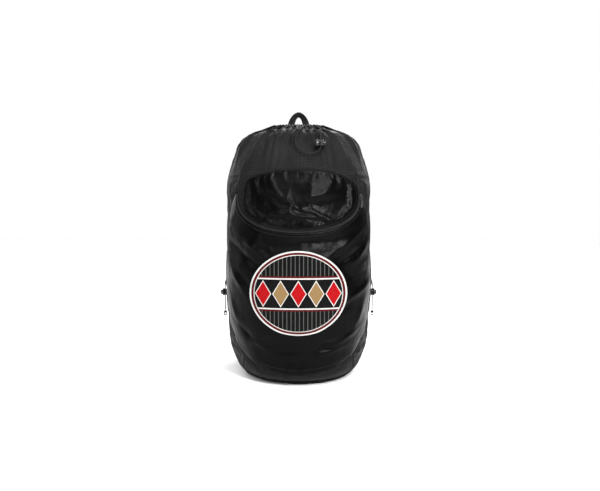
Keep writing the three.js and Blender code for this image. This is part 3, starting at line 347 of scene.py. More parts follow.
def shell_point(q, z, pleats=1.0):
    """Point of the shell with the gathers and fine pleats that the drawcord pulls up round the mouth."""
    q, z = np.broadcast_arrays(np.asarray(q, float), np.asarray(z, float))
    point = ring_point(q, z)
    fade = smoothstep(np.abs(wrap(q)), GATHER_START, GATHER_FULL)
    along = unit(ring_point(q + 0.004, z) - ring_point(q - 0.004, z))
    out = np.stack([-along[..., 1], along[..., 0], np.zeros(q.shape)], -1)
    gather = np.cos(math.pi * GATHERS * q + 0.7 * np.sin(5 * math.pi * q))
    drift = 2.1 * np.sin(7 * math.pi * q) + 0.012 * (MOUTH_Z - z) * np.sin(11 * math.pi * q)
    pleat = lumps(math.pi * PLEATS * q + drift) * (0.65 + 0.35 * np.cos(9 * math.pi * q))
    high = smooth(GATHER_DEPTH, "z", "depth", z) * gather
    high = high + smooth(PLEAT_DEPTH, "z", "depth", z) * pleat * pleats
    return point + out * (high * fade)[..., None]


def shell_normal(q, z, pleats=1.0):
    along = shell_point(np.add(q, 0.003), z, pleats) - shell_point(np.subtract(q, 0.003), z, pleats)
    high, low = np.minimum(np.add(z, 0.5), MOUTH_Z), np.maximum(np.subtract(z, 0.5), 0)
    return unit(np.cross(shell_point(q, high, pleats) - shell_point(q, low, pleats), along))


def off_shell(q, z, off, pleats=1.0):
    return shell_point(q, z, pleats) + shell_normal(q, z, pleats) * np.asarray(off, float)[..., None]


def q_on_ring(k, measure, value):
    if measure == "depth":
        return np.interp(value, RING_DEPTH[k], RING_S)
    middle = WIDEST[k]
    if measure == "back_x":
        return np.interp(value, RING_X[k, :middle], RING_S[:middle])
    return np.interp(-value, -RING_X[k, middle:], RING_S[middle:])


def q_at(measure, value, z):
    """The q at a height where the shell reaches a place across or a depth."""
    z = np.asarray(z, float)
    level = z if measure == "front_x" else np.minimum(z, SEAM_TURN_Z)
    found = np.empty(level.shape)
    for index, height in np.ndenumerate(level):
        k = min(int(height), len(RING_Z) - 2)
        t = height - k
        found[index] = q_on_ring(k, measure, value) * (1 - t) + q_on_ring(k + 1, measure, value) * t
    return found


def front_point(x, z):
    half, wide, front, fullness = (smooth(LEVELS, "z", c, z) for c in ("half", "wide", "front", "fullness"))
    across = np.clip(np.abs(x) / half, 0, 1)
    reach = (1 - across ** fullness) ** (1 / fullness)
    x, z = np.broadcast_arrays(np.asarray(x, float), np.asarray(z, float))
    return np.stack([x, BACK_Y - wide - (front - wide) * reach, z], -1)


def front_normal(x, z):
    across = front_point(np.add(x, 0.6), z) - front_point(np.subtract(x, 0.6), z)
    up = front_point(x, np.add(z, 0.6)) - front_point(x, np.subtract(z, 0.6))
    return unit(np.cross(across, up))


def off_front(x, z, off):
    return front_point(x, z) + front_normal(x, z) * np.asarray(off, float)[..., None]


def fold_height(rows, x, z, sharpness):
    """Sum of the folds in a table: long bumps and dents, each turned its own way."""
    total = np.zeros(np.shape(x))
    for fx, fz, turn, long, across, high in zip(*rows.values()):
        c, s = math.cos(math.radians(turn)), math.sin(math.radians(turn))
        along = ((x - fx) * c + (z - fz) * s) / long
        aside = ((z - fz) * c - (x - fx) * s) / across
        total = total + high * np.exp(-along * along - np.abs(aside) ** sharpness)
    return total


def pocket_lift(x, z):
    """Height of the pocket's cloth over the shell, with its main folds."""
    half = smooth(POCKET_FORM, "z", "half", z)
    inside = np.maximum(1 - np.minimum(np.abs(x) / half, 1) ** 4, 0) ** 0.7
    crown = smooth(POCKET_FORM, "z", "bulge", z) * inside
    fold = fold_height(POCKET_FOLDS, x, z, 2.0)
    return POCKET_STAND + CLOTH + np.maximum(crown + fold * np.clip(crown / 12, 0, 1), 0)


# Meshes

def smooth_faces(mesh):
    mesh.polygons.foreach_set("use_smooth", np.ones(len(mesh.polygons), bool))


def new_object(name, data):
    made = bpy.data.objects.new(name, data)
    bpy.context.scene.collection.objects.link(made)
    return made


def mesh_object(name, points, faces, cloth=None):
    """Object from points in millimetres. cloth is each point's place on the flat cloth, for the weave."""
    mesh = bpy.data.meshes.new(name)
    mesh.from_pydata((np.asarray(points, float) * MM).tolist(), [], [tuple(f) for f in faces])
    if cloth is not None:
        places = mesh.attributes.new("cloth", "FLOAT_VECTOR", "POINT")
        flat = np.zeros((len(points), 3))
        flat[:, :cloth.shape[1]] = cloth * MM
        places.data.foreach_set("vector", flat.astype(np.float32).ravel())
    smooth_faces(mesh)
    mesh.update()
    return new_object(name, mesh)


def mesh_points(mesh):
    found = np.empty(len(mesh.vertices) * 3, np.float32)
    mesh.vertices.foreach_get("co", found)
    return found.reshape(-1, 3)


def dress(made, look):
    """Gives a mesh one material."""
    made.data.materials.clear()
    made.data.materials.append(look.material)


def place(made, node=None, body="bag"):
    """Rides a piece on a body, and hides the imported part of the node that it takes the place of."""
    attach(made, body)
    if node:
        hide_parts(node)
    return made


def grid_faces(rows, columns, closed=False):
    """Quads of a grid whose columns run along +q and rows run up, facing out of the shell."""
    j, i = np.meshgrid(np.arange(rows - 1), np.arange(columns if closed else columns - 1), indexing="ij")
    up, right = j + 1, (i + 1) % columns
    corners = [(j, i), (up, i), (up, right), (j, right)]
    return np.stack([a * columns + b for a, b in corners], -1).reshape(-1, 4)


def cloth_piece(name, node, points, cloth, look, thick, sim=None, flip=False, closed=False):
    """Cloth from a grid of points, settled as sim asks, with its thickness on the inside."""
    faces = grid_faces(*points.shape[:2], closed)
    if flip:
        faces = faces[:, ::-1]
    made = mesh_object(name, points.reshape(-1, 3), faces, cloth.reshape(-1, cloth.shape[-1]))
    dress(made, look)
    if sim:
        settle(made, **sim)
    solid = made.modifiers.new("thickness", "SOLIDIFY")
    solid.thickness = thick * MM
    solid.offset = -1.0
    solid.use_even_offset = False
    return place(made, node)


def face_out(made):
    """Turns all faces of a closed mesh outwards."""
    work = bmesh.new()
    work.from_mesh(made.data)
    bmesh.ops.recalc_face_normals(work, faces=work.faces)
    work.to_mesh(made.data)
    work.free()


def sweep(name, node, middles, across, out, section, look):
    """Solid swept along stations: each has half-width and half-thickness vectors that scale the section."""
    section = np.asarray(section, float)
    rows, columns = len(middles), len(section)
    u, v = section[None, :, :1], section[None, :, 1:]
    points = middles[:, None] + across[:, None] * u + out[:, None] * v
    cloth = np.zeros((rows, columns, 3))
    cloth[..., 0] = np.linalg.norm(across, axis=1)[:, None] * section[:, 0]
    cloth[..., 1] = run_length(middles)[:, None]
    cloth[..., 2] = section[:, 1]
    last = (rows - 1) * columns
    faces = [*grid_faces(rows, columns, True), range(columns), range(last + columns - 1, last - 1, -1)]
    made = mesh_object(name, points.reshape(-1, 3), faces, cloth.reshape(-1, 3))
    face_out(made)
    dress(made, look)
    return place(made, node)


EDGE_ROUND = 0.045


def flat_section():
    """Section of woven webbing: flat faces and softly rounded edges."""
    corner = 1 - EDGE_ROUND
    turn = np.linspace(-math.pi / 2, math.pi / 2, 7)
    half = [(corner + EDGE_ROUND * math.cos(a), math.sin(a)) for a in turn]
    half += [(u, 1.0) for u in np.linspace(corner, -corner, 9)[1:-1]]
    return half + [(-u, -v) for u, v in half]


FLAT = flat_section()
ROUND = [(math.cos(a), math.sin(a)) for a in np.linspace(0, 2 * math.pi, 12, endpoint=False)]


def turned_along(points, first):
    """Directions square to a line that follow it without twisting."""
    along = tangents(points)
    found = [unit(first - along[0] * np.dot(first, along[0]))]
    for step in along[1:]:
        found.append(unit(found[-1] - step * np.dot(found[-1], step)))
    return np.array(found)


def tube(name, node, points, radius, look):
    """Round cord or piping along a line."""
    along = tangents(points)
    across = turned_along(points, ACROSS if abs(along[0][0]) < 0.8 else UP)
    return sweep(name, node, points, across * radius, np.cross(along, across) * radius, ROUND, look)


def square_to(along, direction):
    """Part of each direction that is square to a line."""
    return unit(direction - along * np.sum(direction * along, axis=1, keepdims=True))


def band(name, node, points, across, half, thick, look):
    """Flat webbing along a line, its width given at each point."""
    along = tangents(points)
    across = square_to(along, across)
    return sweep(name, node, points, across * half, np.cross(along, across) * thick / 2, FLAT, look)


STITCH = {"long": 3.0, "pitch": 4.2, "radius": 0.42, "sides": 5}
# Rows are place along a stitch, thickness and height
STITCH_FORM = [(-0.5, 0.15, -0.5), (-0.3, 0.85, 0.1), (0.0, 1.0, 0.3), (0.3, 0.85, 0.1), (0.5, 0.15, -0.5)]


def stitches(name, lines, look):
    """Rows of thread stitches: lines are (points, outward directions) on the cloth."""
    ring = np.linspace(0, 2 * math.pi, STITCH["sides"], endpoint=False)[:, None]
    radius = STITCH["radius"]
    all_points = []
    for points, outs in lines:
        run = run_length(points)
        count = max(int(run[-1] / STITCH["pitch"]), 2)
        centre = (np.arange(count) + 0.5) * run[-1] / count
        spot = read_line(points, run, centre)
        along = unit(read_line(points, run, centre + 1) - read_line(points, run, centre - 1))
        out = square_to(along, read_line(outs, run, centre))
        circle = np.cos(ring) * np.cross(along, out)[:, None] + np.sin(ring) * out[:, None]
        rings = []
        for share, size, high in STITCH_FORM:
            middle = spot + along * share * STITCH["long"] + out * high * radius * 2
            rings.append(middle[:, None] + circle * size * radius)
        all_points.append(np.stack(rings, 1).reshape(-1, 3))
    points = np.vstack(all_points)
    one = grid_faces(len(STITCH_FORM), STITCH["sides"], True)
    starts = np.arange(0, len(points), len(STITCH_FORM) * STITCH["sides"])
    made = mesh_object(name, points, (one + starts[:, None, None]).reshape(-1, 4))
    dress(made, look)
    place(made)


# Cloth that settles under its own fullness

CLOTH_FEEL = {
    "quality": 5, "mass": 0.05, "tension_stiffness": 20, "compression_stiffness": 20, "shear_stiffness": 8,
    "air_damping": 2.0, "vertex_group_mass": "seam",
}
PIN_LEVELS = (0.25, 0.5, 0.75, 1.0)


def settle(made, pinned, growth, pressure, frames=18, cap=6.0, bending=0.6, gravity=0.15):
    """Lets a sewn panel buckle and sag between its pinned seams. pinned is 0 to 1 for each point."""
    scene = bpy.context.scene
    rest = mesh_points(made.data)
    pins = made.vertex_groups.new(name="seam")
    for level in PIN_LEVELS:
        chosen = np.where(np.abs(np.round(pinned * 4) / 4 - level) < 0.01)[0]
        if len(chosen):
            pins.add(chosen.tolist(), level, "REPLACE")
    cloth = made.modifiers.new("cloth", "CLOTH")
    for key, value in CLOTH_FEEL.items():
        setattr(cloth.settings, key, value)
    cloth.settings.bending_stiffness = bending
    cloth.settings.shrink_min = -growth
    cloth.settings.use_pressure = pressure > 0
    cloth.settings.uniform_pressure_force = pressure
    cloth.settings.effector_weights.gravity = gravity
    cloth.collision_settings.use_collision = False
    for step in range(1, frames + 1):
        scene.frame_set(step)
    moved = mesh_points(made.evaluated_get(bpy.context.evaluated_depsgraph_get()).data)
    made.modifiers.remove(cloth)
    made.vertex_groups.remove(pins)
    scene.frame_set(1)
    move = moved - rest
    size = np.linalg.norm(move, axis=1, keepdims=True)
    limit = cap * MM
    move *= limit * np.tanh(size / limit) / np.maximum(size, 1e-9)
    made.data.vertices.foreach_set("co", (rest + move).ravel())
    made.data.update()


# Materials

class Nodes:
    """Short ways to add shader nodes to a tree. An input is a value or another node's socket."""

    def __init__(self, tree):
        self.tree = tree

    def feed(self, node, inputs):
        for key, value in inputs.items():
            if isinstance(value, bpy.types.NodeSocket):
                self.tree.links.new(value, node.inputs[key])
            else:
                node.inputs[key].default_value = value

    def add(self, kind, inputs, **settings):
        made = self.tree.nodes.new(kind)
        for key, value in settings.items():
            setattr(made, key, value)
        self.feed(made, inputs)
        return made.outputs

    def maths(self, operation, first, second=0.0, third=0.0):
        return self.add("ShaderNodeMath", {0: first, 1: second, 2: third}, operation=operation)[0]

    def spread(self, value, low, high, to_low=0.0, to_high=1.0):
        inputs = {"Value": value, "From Min": low, "From Max": high, "To Min": to_low, "To Max": to_high}
        return self.add("ShaderNodeMapRange", inputs)["Result"]

    def mix(self, share, under, over):
        """One colour laid over another by a share."""
        under, over = ((*c, 1) if isinstance(c, tuple) else c for c in (under, over))
        return self.add("ShaderNodeMix", {"Factor": share, "A": under, "B": over}, data_type="RGBA")["Result"]

    def wave(self, length, period):
        """Sine of a length in metres, with its period in millimetres."""
        return self.maths("SINE", self.maths("MULTIPLY", length, 2 * math.pi / (period * MM)))

    def bump(self, height, depth, below=None):
        """Bump whose height is 0 to 1 over a depth in millimetres."""
        inputs = {"Height": height, "Distance": depth * MM, "Strength": 1.0}
        if below is not None:
            inputs["Normal"] = below
        return self.add("ShaderNodeBump", inputs)["Normal"]


class Look(Nodes):
    """A new material with its slot, and a point's place in space and on the flat cloth."""

    def __init__(self, name, slot):
        self.material = bpy.data.materials.new(name)
        self.material.use_nodes = True
        super().__init__(self.material.node_tree)
        self.slot = slot
        self.shader = self.tree.nodes["Principled BSDF"]
        self.spot = self.add("ShaderNodeTexCoord", {})["Object"]
        flat = self.add("ShaderNodeAttribute", {}, attribute_name="cloth")["Vector"]
        axes = self.add("ShaderNodeSeparateXYZ", {0: flat})
        self.along, self.up, self.out = axes["X"], axes["Y"], axes["Z"]

    def noise(self, scale, detail, roughness=0.55):
        inputs = {"Vector": self.spot, "Scale": scale, "Detail": detail, "Roughness": roughness}
        return self.add("ShaderNodeTexNoise", inputs)["Fac"]

    def shade(self, colour, roughness, normal, specular, **others):
        inputs = {"Base Color": colour, "Roughness": roughness, "Normal": normal}
        self.feed(self.shader, {**inputs, "Specular IOR Level": specular})
        self.feed(self.shader, {key.replace("_", " ").title(): value for key, value in others.items()})
        return self


def satin(name, dark, light, rough=(0.25, 0.36), mottle=0.0):
    """Shiny woven polyester, with fine twill, soft crumples and uneven gloss."""
    look = Look(name, "satin")
    cloudy = look.noise(14, 5)
    share = cloudy
    if mottle:
        patches = look.spread(look.noise(30, 10, 0.76), 0.42, 0.6)
        share = look.maths("MULTIPLY_ADD", patches, mottle, look.maths("MULTIPLY", cloudy, 1 - mottle))
    twill = look.wave(look.maths("ADD", look.along, look.up), 0.9)
    crinkle = look.maths("MULTIPLY_ADD", look.noise(60, 2), 0.16, look.noise(15, 2, 0.35))
    normal = look.bump(look.spread(twill, -1, 1), 0.02, look.bump(crinkle, 6.0))
    return look.shade(look.mix(share, dark, light), look.spread(cloudy, 0.3, 0.7, *rough), normal, 0.042)


def net(name, dark, light, pitch, rows, see_through=False):
    """Knitted mesh: rows of small holes between lighter ribs."""
    look = Look(name, "mesh")
    cells = look.maths("MULTIPLY", look.wave(look.along, pitch), look.wave(look.up, rows))
    holes = look.spread(look.maths("ABSOLUTE", cells), 0.32, 0.62)
    yarn = look.maths("SUBTRACT", 1.0, holes)
    ribs = look.spread(look.wave(look.up, rows / 2), -1, 1)
    cloudy = look.noise(18, 5)
    share = look.maths("MULTIPLY", yarn, look.spread(cloudy, 0.25, 0.75, 0.45, 1.0))
    loops = look.maths("MULTIPLY_ADD", ribs, 0.35, yarn)
    normal = look.bump(loops, 0.16, look.bump(look.noise(18, 3), 5.0))
    look.shade(look.mix(share, dark, light), look.spread(cloudy, 0.3, 0.7, 0.42, 0.54), normal, 0.03)
    if see_through:
        solid = look.maths("SUBTRACT", 1.0, look.maths("GREATER_THAN", holes, 0.5))
        look.feed(look.shader, {"Alpha": solid})
    return look


def knit(name, slot, dark, light, streak, grain=900, patch=38, outer=None):
    """Brushed or heathered knit: flecks of two yarns, soft streaks and fine loops.

    outer is the brightness of the half beyond the middle line, where the other half is evenly pale.
    """
    look = Look(name, slot)
    fleck = look.spread(look.noise(grain, 3, 0.7), 0.36, 0.64)
    patches = look.spread(look.noise(patch, 6, 0.66), 0.38, 0.66)
    flecks = look.maths("MULTIPLY", fleck, 1 - streak)
    share = look.maths("MULTIPLY_ADD", patches, streak, flecks)
    if outer is not None:
        pale = look.maths("MULTIPLY_ADD", patches, 0.3 * streak, look.maths("ADD", flecks, 0.6 * streak))
        half = look.spread(look.along, -2 * MM, 2 * MM)
        inner = look.maths("MULTIPLY", pale, look.maths("SUBTRACT", 1.0, half))
        share = look.maths("MULTIPLY_ADD", look.maths("MULTIPLY", share, outer), half, inner)
    loops = look.maths("MULTIPLY", look.wave(look.along, 1.5), look.wave(look.up, 1.2))
    normal = look.bump(look.spread(loops, -1, 1), 0.14, look.bump(look.noise(70, 4), 0.5))
    rough = look.spread(fleck, 0, 1, 0.72, 0.92)
    return look.shade(
        look.mix(share, dark, light), rough, normal, 0.2, sheen_weight=0.08, sheen_roughness=0.6,
    )


def woven(name, slot, dark, light, period=1.7, chevron=3.2, sheen=0.05):
    """Webbing, ribbon or thread: chevron ribs across the band and a paler wear along its ribs."""
    look = Look(name, slot)
    slant = look.maths("PINGPONG", look.along, chevron * MM)
    high = look.spread(look.wave(look.maths("ADD", look.up, slant), period), -1, 1)
    worn = look.spread(look.noise(120, 4), 0.3, 0.7)
    share = look.maths("MULTIPLY", high, look.maths("MULTIPLY_ADD", worn, 0.7, 0.3))
    normal = look.bump(high, 0.3, look.bump(look.noise(160, 3), 0.2))
    rough = look.spread(worn, 0, 1, 0.55, 0.72)
    return look.shade(
        look.mix(share, dark, light), rough, normal, 0.14, sheen_weight=sheen, sheen_roughness=0.5,
    )


def braid(name, dark, light):
    """Braided cord: two crossing spirals of yarn."""
    look = Look(name, "cord")
    turn = look.maths("ARCTAN2", look.out, look.maths("DIVIDE", look.along, CORD_RADIUS * MM))
    lay = look.maths("MULTIPLY", look.up, 2 * math.pi / (5.0 * MM))
    spirals = [look.maths("SINE", look.maths("MULTIPLY_ADD", turn, way, lay)) for way in (4.0, -4.0)]
    high = look.spread(look.maths("MAXIMUM", *spirals), -0.4, 1)
    rough = look.spread(look.noise(260, 3), 0.3, 0.7, 0.5, 0.7)
    return look.shade(look.mix(high, dark, light), rough, look.bump(high, 0.3), 0.16)


def moulded(name, slot, dark, light, rough=(0.16, 0.28)):
    """Moulded plastic or painted metal: slight orange peel and handling scuffs."""
    look = Look(name, slot)
    scuff = look.spread(look.noise(240, 6, 0.7), 0.45, 0.75)
    gloss = look.spread(look.noise(90, 4), 0.3, 0.7, *rough)
    return look.shade(look.mix(scuff, dark, light), gloss, look.bump(look.noise(1500, 2), 0.05), 0.3)


def grey(value):
    return (value, value, value * 1.04)


BLACK_SATIN = grey(0.0005), grey(0.0015)

# Plain printed badge: oval with a border, pinstripes and a belt of lozenges, in millimetres
BADGE = {"z": 212.0, "half": 106.0, "high": 92.0, "stripe": 9.0, "belt": 31.0, "lozenge": 38.0}
BADGE_WHITE, BADGE_RED, BADGE_WINE = (0.34, 0.337, 0.325), (0.2, 0.0025, 0.004), (0.044, 0.003, 0.004)
BADGE_TAN, BADGE_SILVER, BADGE_COAL = (0.14, 0.087, 0.037), (0.05, 0.052, 0.047), (0.002, 0.002, 0.0022)


def badge_satin():
    """Pocket satin with the badge printed on it."""
    look = satin("pocket_satin", *BLACK_SATIN)
    cloth_colour = look.shader.inputs["Base Color"].links[0].from_socket
    axes = look.add("ShaderNodeSeparateXYZ", {0: look.spot})
    height = look.maths("SUBTRACT", axes["Z"], BADGE["z"] * MM)
    across = look.maths("DIVIDE", axes["X"], BADGE["half"] * MM)
    up = look.maths("DIVIDE", height, BADGE["high"] * MM)
    squares = look.maths("ADD", look.maths("POWER", across, 2.0), look.maths("POWER", up, 2.0))
    radius = look.maths("SQRT", squares)
    off_belt = look.maths("ABSOLUTE", height)
    shifted = look.maths("ADD", look.maths("DIVIDE", axes["X"], BADGE["lozenge"] * MM), 0.5)
    place_in = look.maths("ABSOLUTE", look.maths("SUBTRACT", look.maths("FRACT", shifted), 0.5))
    reach = look.maths("MULTIPLY_ADD", off_belt, 0.5 / (BADGE["belt"] * MM), place_in)
    odd = look.maths("FLOORED_MODULO", look.maths("FLOOR", shifted), 2.0)
    stripes = look.maths("GREATER_THAN", look.wave(axes["X"], BADGE["stripe"]), 0.86)
    field = look.mix(stripes, BADGE_COAL, BADGE_SILVER)
    # Each row lays a colour where its test holds
    rows = [
        (BADGE_WINE, "LESS_THAN", off_belt, (BADGE["belt"] + 7) * MM),
        (BADGE_WHITE, "LESS_THAN", off_belt, (BADGE["belt"] + 3) * MM),
        (BADGE_COAL, "LESS_THAN", off_belt, BADGE["belt"] * MM),
        (BADGE_WHITE, "LESS_THAN", reach, 0.47),
        (look.mix(odd, BADGE_RED, BADGE_TAN), "LESS_THAN", reach, 0.42),
        (BADGE_WINE, "GREATER_THAN", radius, 0.9),
        (BADGE_WHITE, "COMPARE", radius, 0.905, 0.008),
        (BADGE_WHITE, "GREATER_THAN", radius, 0.965),
    ]
    for colour, *test in rows:
        field = look.mix(look.maths(*test), field, colour)
    inside = look.maths("LESS_THAN", radius, 1.0)
    look.feed(look.shader, {"Base Color": look.mix(inside, cloth_colour, field)})
    return look


SATIN = satin("satin", *BLACK_SATIN)
SIDE_SATIN = satin("side_satin", grey(0.002), grey(0.042), rough=(0.38, 0.55), mottle=0.85)
POCKET_SATIN = badge_satin()
BODY_NET = net("body_net", grey(0.0015), grey(0.0135), 7.0, 8.0)
COARSE_NET = net("coarse_net", grey(0.003), grey(0.017), 6.4, 6.4, see_through=True)
UNDER_NET = net("under_net", grey(0.004), grey(0.016), 2.4, 2.4)
BACK_KNIT = knit("back_knit", "pad", grey(0.017), grey(0.04), 0.45)
HEATHER = knit("heather", "heather", grey(0.004), grey(0.1), 0.62, grain=420, patch=34, outer=0.5)
WEBBING = woven("webbing", "webbing", grey(0.002), grey(0.0125))
BINDING = woven("binding", "webbing", grey(0.001), grey(0.004), period=1.1, chevron=2.0, sheen=0.0)
RIBBON = woven("ribbon", "ribbon", (0.30, 0.001, 0.002), (0.68, 0.008, 0.01), period=1.2, chevron=1.6)
CORD = braid("cord", grey(0.0008), grey(0.004))
THREAD = woven("thread", "cord", grey(0.006), grey(0.03), period=0.6, chevron=0.6)
PALE_THREAD = woven("pale_thread", "cord", grey(0.05), grey(0.14), period=0.6, chevron=0.6)
PLASTIC = moulded("plastic", "plastic", grey(0.002), grey(0.008))
COIL = moulded("coil", "plastic", grey(0.001), grey(0.004), rough=(0.4, 0.55))
ZIP_METAL = moulded("zip_metal", "zip_metal", grey(0.012), grey(0.06), rough=(0.25, 0.42))


# Shell panels

ROWS = np.linspace(0, 1, 148)
HEIGHTS = PANEL_LOW + (PANEL_HIGH - PANEL_LOW) * (1.4 * ROWS - 0.4 * ROWS ** 2)
LOOP_LENGTH = RING_LENGTH[300]
SEAM_DIP, SEAM_REACH, PIN_REACH = 1.3, 4.0, 3.0
RIBBON_STAND, RIBBON_THICK = 0.9, 0.8
BAND_SEAM = float(q_at("front_x", BAND_SEAM_X, BAND_SEAM_Z))
PAD_EDGE = 9.0


def band_seam_z(q):
    share = np.clip((1 - np.abs(q - 1) - BAND_SEAM) / BAND_RISE, 0, 1)
    return PANEL_LOW + (BAND_TOP - PANEL_LOW) * share


def panel_grid(first, last, heights, columns):
    """q and z of a panel between two seams, with q rising along its columns."""
    q = first[:, None] + (last - first)[:, None] * np.linspace(0, 1, columns)
    return q, np.repeat(heights[:, None], columns, 1)


def side_grid(side, near, far, heights, columns):
    """q and z of a panel on one side of the bag."""
    first, last = (side * q_at(*seam, heights) for seam in (near, far)[::side])
    return panel_grid(first, last, heights, columns)


def grid_runs(points):
    """Lengths along the columns and up the rows of a grid of points."""
    along = np.cumsum(np.linalg.norm(np.diff(points, axis=1, prepend=points[:, :1]), axis=-1), axis=1)
    up = np.cumsum(np.linalg.norm(np.diff(points, axis=0, prepend=points[:1]), axis=-1), axis=0)
    return along, up


def border(points):
    """Distances of each grid point from the panel's nearest upright and level edges."""
    along, up = grid_runs(points)
    return np.minimum(along, along[:, -1:] - along), np.minimum(up, up[-1:] - up)


def flat_cloth(q, points):
    """Place of each grid point on the flat cloth."""
    up = grid_runs(points)[1]
    return np.stack([np.broadcast_to(q * LOOP_LENGTH, up.shape), up], -1)


def full_cloth(points):
    """Place of each grid point on cloth that is cut fuller than the shell under it."""
    along, up = grid_runs(points)
    return np.stack([along - along[:, -1:] / 2, up], -1)


def pins_of(*distances):
    nearest = np.minimum.reduce(distances)
    return np.clip(1.5 - nearest / (2 * PIN_REACH), 0, 1).ravel() * (nearest < 2 * PIN_REACH).ravel()


def sewn_panel(name, node, q, z, look, **feel):
    """Panel of the shell whose seams pull in and whose cloth settles between them."""
    aside, upright = border(shell_point(q, z))
    pull = SEAM_DIP * (np.exp(-aside / SEAM_REACH) + 0.6 * np.exp(-upright / SEAM_REACH))
    points = off_shell(q, z, -pull)
    sim = {"pinned": pins_of(aside, upright), **feel}
    return cloth_piece(name, node, points, flat_cloth(q, points), look, CLOTH, sim)


def back_panel():
    """Padded back with a sewn vee near its foot."""
    seam = q_at(*BACK_SEAM, HEIGHTS)
    q, z = panel_grid(-seam, seam, HEIGHTS, 60)
    plain = shell_point(q, z)
    aside, upright = border(plain)
    x = plain[..., 0]
    vee = np.abs(z - (34 + 0.42 * (BACK_SEAM_X - np.abs(x))))
    crown = -3.0 * np.exp(-aside / PAD_EDGE) - 1.5 * np.exp(-upright / PAD_EDGE)
    crown = crown - 1.4 * dip(vee, 3.0) + fold_height(BACK_CREASES, x, z, 1.6)
    points = off_shell(q, z, crown + 1.0)
    pinned = pins_of(aside, upright, vee)
    sim = {"pinned": pinned, "growth": 0.022, "pressure": 0.5, "cap": 3.5, "bending": 3.0}
    cloth = flat_cloth(q, points)
    cloth_piece("back_pad", "back_panel", points, cloth, BACK_KNIT, BACK_PAD, sim)


def side_pieces(name, side):
    """Wing and side panel of one side, with the ribbon that lies on the settled panel."""
    q, z = side_grid(side, BACK_SEAM, WING_SEAM, HEIGHTS, 14)
    sewn_panel(f"wing_cloth_{name}", f"wing_{name}", q, z, SATIN, growth=0.03, pressure=0.3, cap=3.0)
    panel_q, z = side_grid(side, WING_SEAM, SIDE_SEAM, HEIGHTS, 40)
    panel = sewn_panel(
        f"side_cloth_{name}", f"side_panel_{name}", panel_q, z, SIDE_SATIN,
        growth=0.024, pressure=0.3, cap=2.6,
    )
    ground = mesh_points(panel.data).reshape(*panel_q.shape, 3).astype(float) / MM
    chosen = np.where((HEIGHTS > SIDE_STRIPE["low"]) & (HEIGHTS < SIDE_STRIPE["high"]))[0]
    q, z = side_grid(side, SIDE_STRIPE["near"], SIDE_STRIPE["far"], HEIGHTS[chosen], 7)
    points = shell_normal(q, z) * RIBBON_STAND
    for row, k in enumerate(chosen):
        points[row] += read_line(ground[k], panel_q[k], q[row])
    cloth = np.stack([(q - q.mean(1, keepdims=True)) * LOOP_LENGTH, z], -1)
    cloth_piece(f"side_ribbon_{name}", f"side_stripe_{name}", points, cloth, RIBBON, RIBBON_THICK)


def mesh_wall():
    seam = q_at(*SIDE_SEAM, HEIGHTS)
    q, z = panel_grid(seam, 2 - seam, HEIGHTS, 190)
    low = band_seam_z(q)
    z = low + (z - PANEL_LOW) / (PANEL_HIGH - PANEL_LOW) * (PANEL_HIGH - low)
    sewn_panel("mesh_wall", "mesh_body", q, z, BODY_NET, growth=0.022, pressure=0.25, cap=4.5)


def lower_band():
    start = BAND_SEAM + 0.2 * BAND_RISE
    share = np.linspace(0, 1, 22)[:, None]
    q = np.repeat(np.linspace(start, 2 - start, 150)[None], 22, 0)
    z = PANEL_LOW + share * (band_seam_z(q) - 0.6 - PANEL_LOW)
    sewn_panel("band_cloth", "front_band", q, z, BODY_NET, growth=0.02, pressure=0.2, cap=2.5)


def base():
    """Floor of the bag with its turned-up rim."""
    q = np.linspace(0, 2, 180, endpoint=False)
    centre = at(0, 110, 0)
    rows = []
    for share in (0.02, 0.25, 0.5, 0.75, 0.9, 0.97):
        sag = 0.9 * (1 - share) * np.sin(9 * math.pi * q) ** 2
        ring = centre + (shell_point(q, 0.0) - centre) * share
        ring[:, 2] = 0.1 + sag * share
        rows.append(ring)
    rows += [shell_point(q, height) for height in (0.3, 1.2, 2.5, 4.0, 6.0, BASE_RIM)]
    points = np.array(rows)
    cloth_piece("base_cloth", "bottom_panel", points, points[..., :2], BODY_NET, CLOTH, closed=True)
    tube("base_piping", None, off_shell(np.append(q, q[:1]), BASE_RIM + 0.4, 0.6), 1.7, BINDING)


def mouth_casing():
    """Gathered casing: up the outside, over its rolled top and down inside."""
    q = np.linspace(0, 2, 460, endpoint=False)
    outside = [(z, -0.2) for z in np.linspace(COLLAR_LOW - 1.0, MOUTH_Z - 3.5, 16)]
    rolled = [(MOUTH_Z - 1.2, -0.3), (MOUTH_Z - 0.2, -1.4), (MOUTH_Z, -2.8), (MOUTH_Z - 1.0, -4.2)]
    inside = [(z, -5.0) for z in np.linspace(MOUTH_Z - 4.0, COLLAR_LOW + 2.0, 8)]
    rows = []
    for z, off in outside + rolled + inside:
        frill = 1.7 * np.cos(math.pi * 53 * q + 1.7 * np.sin(6 * math.pi * q)) * smoothstep(z, 574, 588)
        seam = -1.6 * math.exp(-(z - COLLAR_LOW + 1) / 2.2) - 1.5 * dip(z - 583, 1.6)
        rows.append(off_shell(q, z, off + frill * (off > -2) + seam * (off > -1)))
    points = np.array(rows)
    cloth_piece("mouth_casing", "collar", points, flat_cloth(q[None], points), SATIN, 0.9, closed=True)


# Front pocket

EDGE_LINE = smooth_path([(x, 0, z) for x, z in POCKET_EDGE], 400)
EDGE_TUCK = ((0, 0.06), (1, 0.6), (-1, 0.06), (-2, 0.6))
ZIP_TUCK = 0.84
# Heights of the lid's skirt as shares of its lift
SKIRT_ROWS = (0.0, 0.4, 0.8, 0.97)


def zip_place(a):
    x = ZIP_END_X * np.sin(a * math.pi / 2)
    drop = np.maximum(1 - np.abs(x / ZIP_END_X) ** LID_POWER, 0) ** (1 / LID_POWER)
    return x, ZIP_END_Z - (ZIP_END_Z - ZIP_MID_Z) * drop


